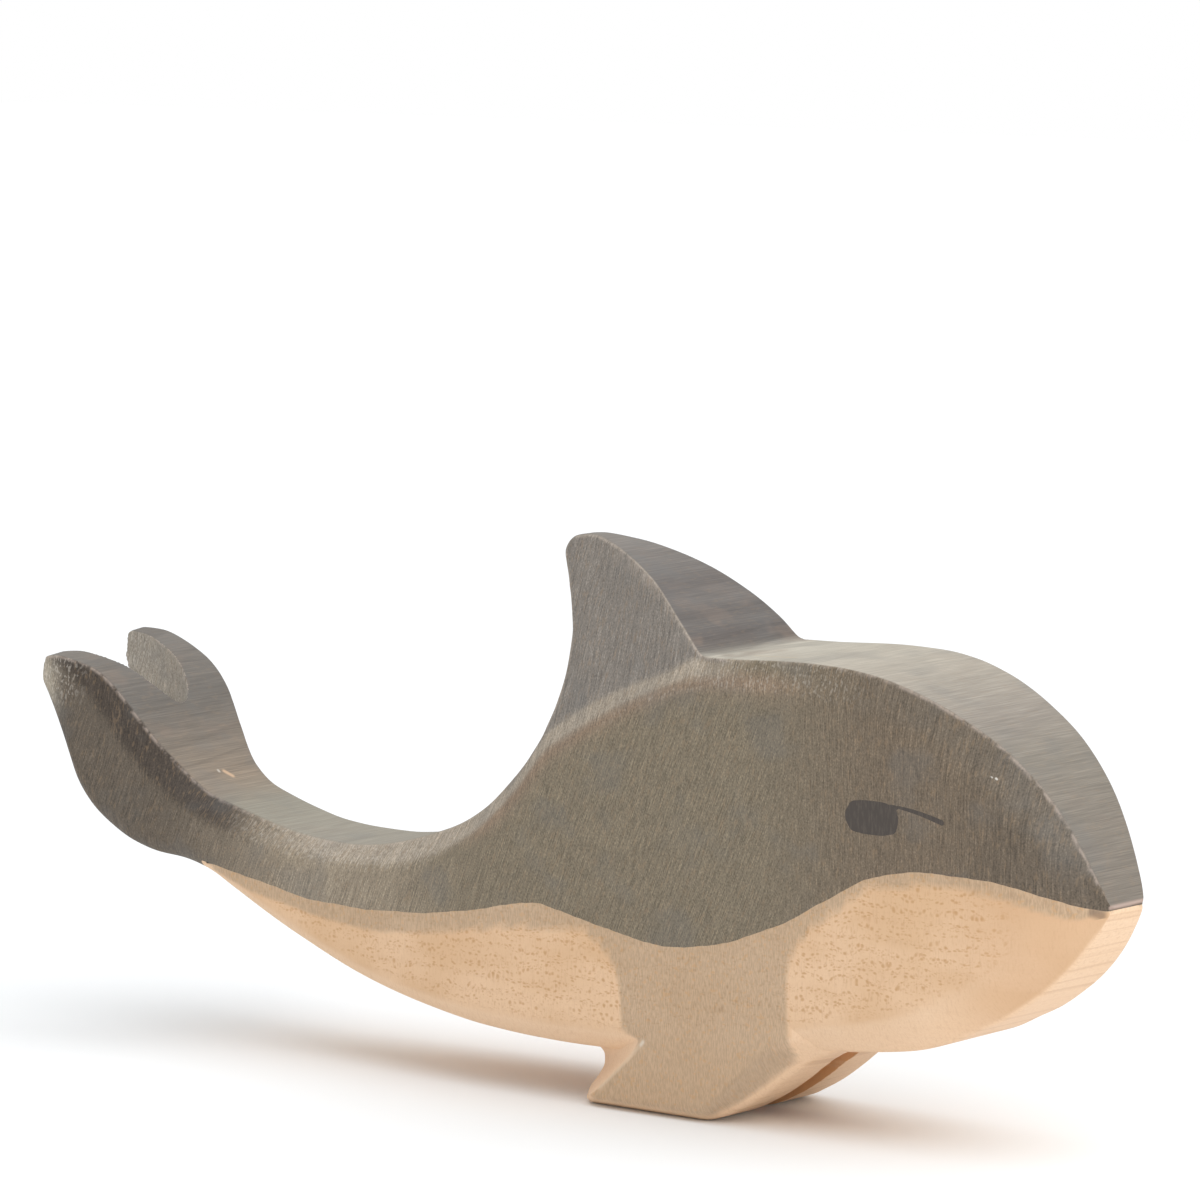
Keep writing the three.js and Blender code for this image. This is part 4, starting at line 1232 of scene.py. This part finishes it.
class Grain:
    """Patterns of the wood itself, which run through all the pieces in one place.

    Sizes are in millimetres along x, y and z. The finest real fibres and sanding lines, under
    0.1 mm, wouldn't show in the render and are drawn 0.2 to 0.4 mm wide.
    """

    def __init__(self, tree: bpy.types.NodeTree) -> None:
        """Measures the piece in millimetres.

        Args:
            tree: the material's nodes.
        """
        self.tree = tree
        place = self.node("TexCoord").outputs["Object"]
        self.mm = self.vector("SCALE", {0: place, "Scale": 1 / MM})
        self.x, self.y, self.z = self.node("SeparateXYZ", {0: self.mm}).outputs

    def node(self, kind: str, feeds: dict | None = None, **settings: object) -> bpy.types.Node:
        """Adds a node to the material."""
        return add_node(self.tree, kind, feeds, **settings)

    def maths(self, operation: str, *values: object) -> Socket:
        """Works out a number from sockets or numbers."""
        return self.node("Math", dict(enumerate(values)), operation=operation).outputs[0]

    def vector(self, operation: str, feeds: dict, output: str = "Vector") -> Socket:
        """Works out a vector, or the number that an operation on vectors gives."""
        return self.node("VectorMath", feeds, operation=operation).outputs[output]

    def product(self, *factors: object) -> Socket | float:
        """Multiplies sockets and numbers.

        Args:
            factors: what is multiplied, in order.

        Returns:
            The product, or the one factor itself.
        """
        total = factors[0]
        for factor in factors[1:]:
            total = self.maths("MULTIPLY", total, factor)
        return total

    def value(self, name: str, output: str = "Fac") -> Socket:
        """Reads a number that the mesh holds at each point, or its colour."""
        return self.node("Attribute", attribute_name=name).outputs[output]

    def noise(self, size: Size, detail: float = 2.0, rough: float = 0.55,
              place: Socket | None = None) -> Socket:
        """Cloudy pattern about 0.5.

        Args:
            size: the clouds' size.
            detail: how many finer layers it has.
            rough: how strong the finer layers are.
            place: where to read it, or the piece's own place.

        Returns:
            The pattern.
        """
        scaled = self.vector("DIVIDE", {0: place or self.mm, 1: size})
        feeds = {"Vector": scaled, "Scale": 1.0, "Detail": detail, "Roughness": rough}
        return self.node("TexNoise", feeds).outputs["Fac"]

    def between(self, value: Socket, low: float, high: float) -> Socket:
        """Turns a number into a share, 0 at low and 1 at high, rising smoothly."""
        feeds = {"Value": value, "From Min": low, "From Max": high}
        return self.node("MapRange", feeds, interpolation_type="SMOOTHSTEP").outputs[0]

    def clouds(self, size: Size, low: float, high: float, detail: float = 2.0,
               rough: float = 0.55) -> Socket:
        """Cloudy pattern as a share, 0 where it is at low and 1 where it is at high."""
        return self.between(self.noise(size, detail, rough), low, high)

    def mix(self, share: Socket | float, first: object, second: object) -> Socket:
        """Passes from the first number to the second by a share."""
        return self.node("Mix", {0: share, 2: first, 3: second}).outputs[0]

    def over(self, base: Socket | tuple, code: str | tuple, *shares: object, blend: str = "MIX") -> Socket:
        """Lays a colour over another one, as strong as the product of the shares.

        Args:
            base: the colour so far.
            code: an sRGB hex colour, or a linear one.
            shares: sockets and numbers.
            blend: how the colour is laid on.

        Returns:
            The mixed colour.
        """
        colour = linear(code) if isinstance(code, str) else code
        feeds = {0: self.product(*shares), 6: base, 7: colour}
        return self.node("Mix", feeds, data_type="RGBA", blend_type=blend).outputs[2]

    def slanted(self, size: Size, detail: float, rough: float) -> Socket:
        """Cloudy pattern of upright strokes, which lean forward where the mesh says so.

        Args:
            size: the strokes' size.
            detail: how many finer layers it has.
            rough: how strong the finer layers are.

        Returns:
            The pattern, about 0.5.
        """
        forward_per_height = 0.42
        x = self.maths("SUBTRACT", self.x, self.product(self.z, forward_per_height))
        moved = self.node("CombineXYZ", {"X": x, "Y": self.y, "Z": self.z}).outputs[0]
        upright, leaning = self.noise(size, detail, rough), self.noise(size, detail, rough, moved)
        return self.mix(self.value("lean"), upright, leaning)

    def rings(self, spacing: float) -> Socket:
        """Uneven growth lines about 0.5: the layers lie nearly flat, with slow waves.

        Args:
            spacing: millimetres between lines.

        Returns:
            The pattern.
        """
        slope, wave_height = 0.045, 9.0
        tilted = self.maths("ADD", self.z, self.product(self.x, slope))
        height = self.maths("ADD", tilted, self.product(self.noise((34, 60, 26), 1.0), wave_height))
        feeds = {"W": self.maths("DIVIDE", height, spacing), "Scale": 1.0, "Detail": 3.0,
                 "Roughness": 0.65}
        return self.node("TexNoise", feeds, noise_dimensions="1D").outputs["Fac"]

    def flecks(self, stroke: tuple[float, float], row: float, kept: float) -> Socket:
        """Short strokes that gather in wavy rows, as rays do in quarter-sawn maple.

        Args:
            stroke: width and height of a stroke's cell in millimetres.
            row: millimetres between rows.
            kept: share of the cells that hold a stroke.

        Returns:
            1 in a stroke and 0 elsewhere.
        """
        depth, jitter_height, row_pull = 2.6, 3.0, 0.46
        z = self.maths("ADD", self.z, self.product(self.noise((6, 9, 3), 1.0), jitter_height))
        place = self.node("CombineXYZ", {"X": self.x, "Y": self.y, "Z": z}).outputs[0]
        cell = self.vector("DIVIDE", {0: place, 1: (stroke[0], depth, stroke[1])})
        cells = self.node("TexVoronoi", {"Vector": cell, "Scale": 1.0, "Randomness": 1.0})
        pick = self.node("SeparateColor", {0: cells.outputs["Color"]}).outputs["Red"]
        wave = self.maths("SINE", self.product(z, 2 * np.pi / row))
        score = self.maths("ADD", pick, self.product(wave, row_pull))
        chosen = self.between(score, 0.92 - kept, 1.04 - kept)
        core = self.between(cells.outputs["Distance"], 0.58, 0.12)
        return self.product(chosen, core, self.value("fleck"))

    def marked(self, base: Socket, marks: tuple[Mark, ...]) -> Socket:
        """Lays small marks over a colour.

        The distance to a mark is |p - a - t (b - a)|, where t is how far along its stroke from a to b
        the nearest place lies, between 0 and 1.

        Args:
            base: the colour so far.
            marks: the marks.

        Returns:
            The colour with the marks.
        """
        for mark in marks:
            start, stroke = Vector(mark.start), Vector(mark.end) - Vector(mark.start)
            apart = self.vector("SUBTRACT", {0: self.mm, 1: start})
            along = self.vector("DOT_PRODUCT", {0: apart, 1: stroke}, "Value")
            share = self.node("MapRange", {"Value": along, "From Max": stroke.length_squared}).outputs[0]
            nearest = self.vector("SCALE", {0: stroke, "Scale": share})
            off = self.vector("DISTANCE", {0: apart, 1: nearest}, "Value")
            cover = self.between(off, 1.2 * mark.half_width, 0.2 * mark.half_width)
            base = self.over(base, mark.colour, cover, mark.strength)
        return base


@dataclass(frozen=True)
class Finish:
    """A finish on the maple: each kind mixes its own colour and names its gloss and tooth."""

    name: str = ""
    roughness: float = 0.58
    specular: float = 0.35
    tooth: Size = (0.3, 0.9, 0.8)
    tooth_depth: float = 0.03

    def colour(self, grain: Grain) -> Socket:
        """Mixes the finish's colour."""
        raise NotImplementedError

    def relief(self, grain: Grain) -> Socket:
        """Gives the height of the fine tooth that sanding leaves."""
        return grain.noise(self.tooth)

    def material(self) -> bpy.types.Material:
        """Makes the material, with a raised tooth where its depth isn't zero.

        Returns:
            The material.
        """
        gloss = {"Roughness": self.roughness, "Specular IOR Level": self.specular}
        material, tree = new_material(self.name, gloss)
        grain, shader = Grain(tree), tree.nodes["Principled BSDF"]
        tree.links.new(self.colour(grain), shader.inputs["Base Color"])
        if self.tooth_depth:
            feeds = {"Height": self.relief(grain), "Strength": 1.0, "Distance": self.tooth_depth * MM}
            tree.links.new(grain.node("Bump", feeds).outputs["Normal"], shader.inputs["Normal"])
        return material


@dataclass(frozen=True)
class SandedMaple(Finish):
    """Maple, sawn, sanded and oiled.

    It looks pale and satin, with ray flecks on the flat sides and soft growth lines on the edges.
    """

    name: str = "maple_sanded_oiled"
    roughness: float = 0.56
    light: str = "#f3d0ac"
    deep: str = "#e7c199"
    ring: str = "#cfa57e"
    ray: str = "#c48f58"
    # Paler colour of bevels and edges, painted as light from the floor and the front
    edge: str = "#f8d9b9"
    # The gap's walls: sawn, oiled wood, with painted warm bounce light
    inside: str = "#dfa062"
    # Colour of the painted shade on the nose's bare wood
    nose_shade: str = "#cfa680"

    def colour(self, grain: Grain) -> Socket:
        """Mixes the wood's colour.

        Clouds a few centimetres wide come first, then the bevels and edges painted paler as light from
        the floor and the front, the tooth of the sanding, fibres, growth lines 1.5 mm apart, the nose
        darkened as painted shade, the gap's walls with painted warm bounce light on the sawn wood, and two
        sizes of ray flecks.

        Args:
            grain: patterns of the wood.

        Returns:
            The colour.
        """
        wood = grain.over(linear(self.light), self.deep, grain.clouds((22, 30, 12), 0.35, 0.65))
        # Painted light: bevels, jaw and flippers' edges paler, as lit from the floor and the front
        wood = grain.over(wood, self.edge, grain.value("pale"), 0.75)
        wood = grain.over(wood, self.deep, grain.clouds((0.34, 0.6, 0.34), 0.35, 0.7), 0.3)
        wood = grain.over(wood, self.ring, grain.clouds((0.25, 1.0, 1.6), 0.5, 0.7, 2.0, 0.6), 0.22)
        on_ribbon = grain.maths("ADD", grain.product(grain.value("ribbon"), 0.3), 0.05)
        wood = grain.over(wood, self.ring, grain.between(grain.rings(1.5), 0.5, 0.68), on_ribbon)
        # Painted shade: the nose darkened
        wood = grain.over(wood, self.nose_shade, grain.value("nose"), 0.5)
        # The gap's walls, partly painted warm bounce light
        wood = grain.over(wood, self.inside, grain.value("sawn"), 0.9)
        wood = grain.over(wood, self.ray, grain.flecks((0.95, 0.62), 1.9, 0.46), 0.56)
        return grain.over(wood, self.ray, grain.flecks((0.5, 0.45), 2.6, 0.3), 0.3)


@dataclass(frozen=True)
class GreyStain(Finish):
    """Water-based grey stain wiped on maple.

    It settles in the pores and raises the grain, so the coat is dull and the wood shows in streaks.
    """

    name: str = "maple_grey_water_stain"
    tooth: Size = (0.18, 9.0, 3.4)
    tooth_depth: float = 0.04
    warm: str = "#a48a6c"
    cool: str = "#6f7273"
    dark: str = "#3c3732"
    # Pale ticks, and the painted sheen specks on the fluke tips and the notch's wall
    speck: str = "#d8d0c4"
    # Worn rims, with a painted highlight along the upper arris
    rub_and_highlight: str = "#cfbfb3"
    brown: str = "#917d6e"
    deeper: float = 0.62
    lighter: float = 1.55
    marks: tuple[Mark, ...] = (
        Mark((-79.0, -0.2, 46.6), (-78.0, 0.7, 45.7), 0.62, "#cdae90", 0.9),
        Mark((-79.4, -1.5, 46.8), (-79.2, -1.5, 46.7), 0.4, "#c8c0b4", 0.8),
        Mark((97.6, -13.3, 63.3), (97.8, -13.3, 63.2), 0.16, "#d9d4cb", 0.8),
        Mark((98.4, -13.1, 63.1), (98.6, -13.1, 63.0), 0.24, "#e4e0d8", 0.9),
        Mark((115.0, -4.6, 42.7), (115.0, 4.6, 42.7), 0.5, "#d3b8ab", 0.6),
        Mark((47.0, -9.0, 78.4), (56.0, -10.0, 78.8), 0.5, "#c4b394", 0.4),
    )

    def relief(self, grain: Grain) -> Socket:
        """Gives the height of the streaks that the water raised."""
        return grain.slanted(self.tooth, 2.0, 0.6)

    def colour(self, grain: Grain) -> Socket:
        """Mixes the stain's colour over the local tone.

        Streaks that lean on the flank, or cross the ribbon, make it deeper and lighter in proportion.
        Wipe marks, warm and cool clouds, growth layers, blotches, ticks with painted sheen specks, and
        worn rims with a painted highlight lie over them.

        Args:
            grain: patterns of the wood.

        Returns:
            The colour.
        """
        ribbon, bands = grain.value("ribbon"), grain.value("bands")
        speckle = grain.noise((0.24, 0.8, 0.34), 1.0)
        upright = grain.maths("ADD", grain.slanted(self.tooth, 1.0, 0.5), speckle)
        across = grain.noise((0.17, 10.0, 0.17), 2.0, 0.6)
        lines = grain.mix(ribbon, grain.product(upright, 0.5), across)
        calm = grain.maths("SUBTRACT", 1.0, grain.product(ribbon, 0.6))
        base = grain.value("tone", "Color")
        for factor, low, high in ((self.deeper, 0.52, 0.34), (self.lighter, 0.52, 0.7)):
            grey = (factor, factor, factor, 1)
            base = grain.over(base, grey, grain.between(lines, low, high), calm, blend="MULTIPLY")
        wiped = grain.between(grain.slanted((0.6, 9.0, 5.0), 2.0, 0.5), 0.4, 0.62)
        base = grain.over(base, self.dark, wiped, calm, 0.1)
        warm = grain.between(grain.slanted((0.4, 2.0, 1.8), 2.0, 0.6), 0.54, 0.68)
        base = grain.over(base, self.warm, warm, calm, 0.26)
        base = grain.over(base, self.cool, grain.clouds((11, 14, 9), 0.5, 0.68), 0.2)
        base = grain.over(base, self.dark, grain.between(grain.rings(1.9), 0.5, 0.7), bands)
        base = grain.over(base, self.brown, grain.clouds((8, 9, 4), 0.52, 0.66), bands, 1.1)
        # Pale ticks on the bevels, and painted sheen specks on the fluke tips and the notch's wall
        ticks = grain.clouds((0.4, 1.4, 0.8), 0.55, 0.66, 1.0)
        base = grain.over(base, self.speck, ticks, grain.value("ticks_and_sheen"), 0.26)
        # The arris lightened, partly worn and partly a painted highlight
        rub = grain.clouds((1.6, 1.6, 1.6), 0.36, 0.6, 2.0, 0.6)
        base = grain.over(base, self.rub_and_highlight, grain.value("wear_and_highlight"), rub, 0.5)
        return grain.marked(base, self.marks)


@dataclass(frozen=True)
class LightWash(Finish):
    """The same stain thinned to a wash.

    The maple shows through it, duller and greyer, with upright wipe marks.
    """

    name: str = "maple_thin_grey_wash"
    thread: str = "#c6ae92"
    streak: str = "#a8927a"
    spot: str = "#c9985f"
    # Colour of the painted shade on the flipper's front bevel
    bevel_shade: str = "#7b6c5b"
    strength: float = 0.68
    marks: tuple[Mark, ...] = (
        # A painted highlight along the edge of the flipper's rear bevel, and a painted glint at its top
        Mark((29.1, -16.4, 12.5), (19.9, -16.4, 3.7), 0.7, "#e3ccb0", 0.5),
        Mark((29.0, -16.4, 12.4), (28.6, -16.4, 12.0), 0.5, "#efe6d8", 0.6),
        Mark((113.0, -6.6, 41.9), (113.9, -5.6, 41.5), 1.1, "#6f5f52", 0.6),
    )

    def colour(self, grain: Grain) -> Socket:
        """Veils the maple's own colour.

        Args:
            grain: patterns of the wood.

        Returns:
            The colour.
        """
        wood = SandedMaple().colour(grain)
        lines = grain.clouds((0.22, 2.4, 1.3), 0.36, 0.66, 2.0, 0.6)
        veil = grain.over(linear(self.thread), self.streak, lines)
        veil = grain.over(veil, self.spot, grain.clouds((0.8, 1.6, 0.8), 0.6, 0.7, 1.0), 0.4)
        # Painted shade: the wash darker on the flipper's front bevel
        veil = grain.over(veil, self.bevel_shade, grain.value("shade"), 0.6)
        veiled = grain.over(wood, veil, grain.value("wash"), self.strength)
        return grain.marked(veiled, self.marks)


@dataclass(frozen=True)
class EyePaint(Finish):
    """Charcoal paint brushed on over the stain.

    It is a dull film, nearly even, with the wood's streaks faint in it.
    """

    name: str = "charcoal_eye_paint"
    roughness: float = 0.5
    tooth_depth: float = 0.0
    body: str = "#4f4843"
    thin: str = "#625a52"

    def colour(self, grain: Grain) -> Socket:
        """Mixes the paint's colour from full and thin streaks."""
        streaks = grain.clouds((0.34, 2.0, 1.8), 0.45, 0.7, 3.0, 0.6)
        return grain.over(linear(self.body), self.thin, streaks, 0.6)


@dataclass(frozen=True)
class Piece:
    """One visible piece: its name, the frame's node that it stands for, its slot and its zone."""

    name: str
    node: str
    slot: str
    zone: Zone


@dataclass
class Whale:
    """The finished figure: the divided surface made into one piece for the wood and one for each coat."""

    coat: float = 0.3
    bed: float = 0.36
    middle_shift: float = 2.0
    surface: Surface = field(default_factory=lambda: Coats().divide(carved()))
    coats: tuple[Piece, ...] = (
        Piece("stain_coat", "grey_stain", "stain", Zone.STAIN),
        Piece("wash_coat_right", "wash_right", "wash", Zone.WASH_RIGHT),
        Piece("wash_coat_left", "wash_left", "wash", Zone.WASH_LEFT),
        Piece("eye_paint_right", "eye_mark_right", "paint", Zone.EYE_RIGHT),
        Piece("eye_paint_left", "eye_mark_left", "paint", Zone.EYE_LEFT),
    )

    def __post_init__(self) -> None:
        """Works out each point's normal, way inwards and shading once for all the pieces."""
        self.normals = self.surface.normals()
        self.inwards = self.surface.beds()
        self.values = Shading(self.surface, Trunk(), Coats()).attributes()
        self.used = [np.zeros(len(self.surface.points), bool) for _ in Zone]
        for zone in Zone:
            self.used[zone][self.surface.triangles[self.surface.zones == zone].ravel()] = True
        finishes = {"maple": SandedMaple(), "stain": GreyStain(), "wash": LightWash(), "paint": EyePaint()}
        self.materials = {slot: finish.material() for slot, finish in finishes.items()}

    def show(self, piece: Piece, points: Array, triangles: Array, source: Array, normals: Array) -> None:
        """Makes a piece with its normals, its material and its values for the material.

        Args:
            piece: which piece it is.
            points: its points in millimetres.
            triangles: its triangles.
            source: the surface's point that each of its points comes from.
            normals: the normal of each of its points.
        """
        made = mesh_of(piece.name, (points + np.array([self.middle_shift, 0, 0])) * MM, triangles.tolist())
        mesh = made.data
        mesh.shade_smooth()
        mesh.normals_split_custom_set(normals[triangles.ravel()].tolist())
        for key, value in self.values.items():
            if value.ndim == 2:
                layer = mesh.attributes.new(key, "FLOAT_COLOR", "POINT")
                colours = np.hstack([value[source], np.ones((len(source), 1))])
                layer.data.foreach_set("color", colours.ravel())
            else:
                layer = mesh.attributes.new(key, "FLOAT", "POINT")
                layer.data.foreach_set("value", value[source].astype(np.float32))
        mesh.materials.append(self.materials[piece.slot])
        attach(made, "root")
        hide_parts(piece.node)
        LOG.info("%s: %d triangles", piece.name, len(triangles))

    def body(self) -> None:
        """Makes the wood: the whole surface, set a little deeper wherever a coat lies on it."""
        covered = ~self.used[Zone.BARE]
        points = self.surface.points + self.inwards * (self.bed * covered)[:, None]
        piece = Piece("carved_maple", "maple_body", "maple", Zone.BARE)
        self.show(piece, points, self.surface.triangles, np.arange(len(points)), self.normals)

    def coating(self, piece: Piece) -> None:
        """Makes a coat: the zone's surface over its own copy one coat deeper, joined at the edge.

        Args:
            piece: which coat it is.
        """
        used, shared = self.used[piece.zone], np.sum(self.used, axis=0) > 1
        triangles = self.surface.triangles[self.surface.zones == piece.zone]
        outer, inner = np.flatnonzero(used), np.flatnonzero(used & ~shared)
        number = np.full(len(self.surface.points), -1)
        number[outer] = np.arange(len(outer))
        under = number.copy()
        under[inner] = len(outer) + np.arange(len(inner))
        deeper = self.surface.points[inner] + self.coat * self.inwards[inner]
        points = np.vstack([self.surface.points[outer], deeper])
        faces = np.vstack([number[triangles], under[triangles][:, ::-1]])
        normals = np.vstack([self.normals[outer], -self.normals[inner]])
        self.show(piece, points, faces, np.concatenate([outer, inner]), normals)

    def build(self) -> None:
        """Makes the wood and its five coats."""
        self.body()
        for piece in self.coats:
            self.coating(piece)


@dataclass(frozen=True)
class Studio:
    """White floor, soft lamps and the camera, in metres and degrees."""

    azimuth: float = 38.5
    elevation: float = 6.8
    place: Size = (0.67044, -0.83416, 0.21097)
    lens: float = 189.0
    sensor: float = 36.0
    near: float = 0.05
    far: float = 50.0
    floor_size: float = 6.0
    floor_bounce: float = 0.9
    floor_seen: Size = (0.965, 0.985, 1.0)
    sky: float = 0.57
    sun: float = 0.56
    sun_from: Size = (0.35, 0.08, 1.0)
    sun_width: float = 80.0
    box_size: float = 0.6
    box_power: float = 1.2
    box_place: Size = (0.75, -0.15, 0.36)

    def camera(self) -> None:
        """Looks along the photograph's direction, level, with nothing shifted."""
        turn, rise = np.radians(self.azimuth), np.radians(self.elevation)
        back = Vector((np.sin(turn) * np.cos(rise), -np.cos(turn) * np.cos(rise), np.sin(rise)))
        right = Vector((np.cos(turn), np.sin(turn), 0))
        data = bpy.data.cameras.new("camera")
        data.lens, data.sensor_width = self.lens, self.sensor
        data.clip_start, data.clip_end = self.near, self.far
        made = linked("camera", data)
        axes = Matrix((right, back.cross(right), back)).transposed().to_4x4()
        made.matrix_world = Matrix.Translation(self.place) @ axes
        bpy.context.scene.camera = made

    def floor(self) -> None:
        """Lays a white floor, which is brightest where the camera sees it and keeps the shadow."""
        half = self.floor_size / 2
        corners = np.array([(-half, -half, 0), (half, -half, 0), (half, half, 0), (-half, half, 0)])
        made = mesh_of("floor", corners, [[0, 1, 2, 3]])
        matt = {"Roughness": 1.0, "Specular IOR Level": 0.0}
        material, tree = new_material("white_paper_floor", matt)
        seen = add_node(tree, "LightPath").outputs["Is Camera Ray"]
        feeds = {0: seen, 6: (*(self.floor_bounce,) * 3, 1), 7: (*self.floor_seen, 1)}
        mixed = add_node(tree, "Mix", feeds, data_type="RGBA").outputs[2]
        tree.links.new(mixed, tree.nodes["Principled BSDF"].inputs["Base Color"])
        made.data.materials.append(material)

    def backdrop(self) -> None:
        """Gives an even soft light from all round, which the camera sees as white."""
        world = bpy.data.worlds.new("studio")
        bpy.context.scene.world = world
        world.use_nodes = True
        tree, background = world.node_tree, world.node_tree.nodes["Background"]
        seen = add_node(tree, "LightPath").outputs["Is Camera Ray"]
        strength = add_node(tree, "MapRange", {"Value": seen, "To Min": self.sky})
        tree.links.new(strength.outputs[0], background.inputs["Strength"])
        background.inputs["Color"].default_value = (1, 1, 1, 1)

    def lamps(self) -> None:
        """Adds a wide far light from above and a large low lamp before the nose.

        The far one comes a little from the front, for gentle modelling. The low one lights the front
        faces and the flippers, and the camera doesn't see it.
        """
        sun = bpy.data.lights.new("soft_overhead", "SUN")
        sun.energy, sun.angle = self.sun * np.pi, np.radians(self.sun_width)
        box = bpy.data.lights.new("front_box", "AREA")
        box.size, box.energy = self.box_size, self.box_power
        for data, place in ((sun, self.sun_from), (box, self.box_place)):
            made = linked(data.name, data)
            made.rotation_euler = Vector(place).to_track_quat("Z", "Y").to_euler()
        made.location = self.box_place
        made.visible_camera = False

    def build(self) -> None:
        """Sets up the floor, the light and the camera."""
        self.floor()
        self.backdrop()
        self.lamps()
        self.camera()
        bpy.context.scene.view_settings.view_transform = "Standard"


def main() -> None:
    """Builds the figure and the studio."""
    Whale().build()
    Studio().build()


if __name__ == "__main__":
    logging.basicConfig(level=logging.INFO, format="%(message)s")
    main()
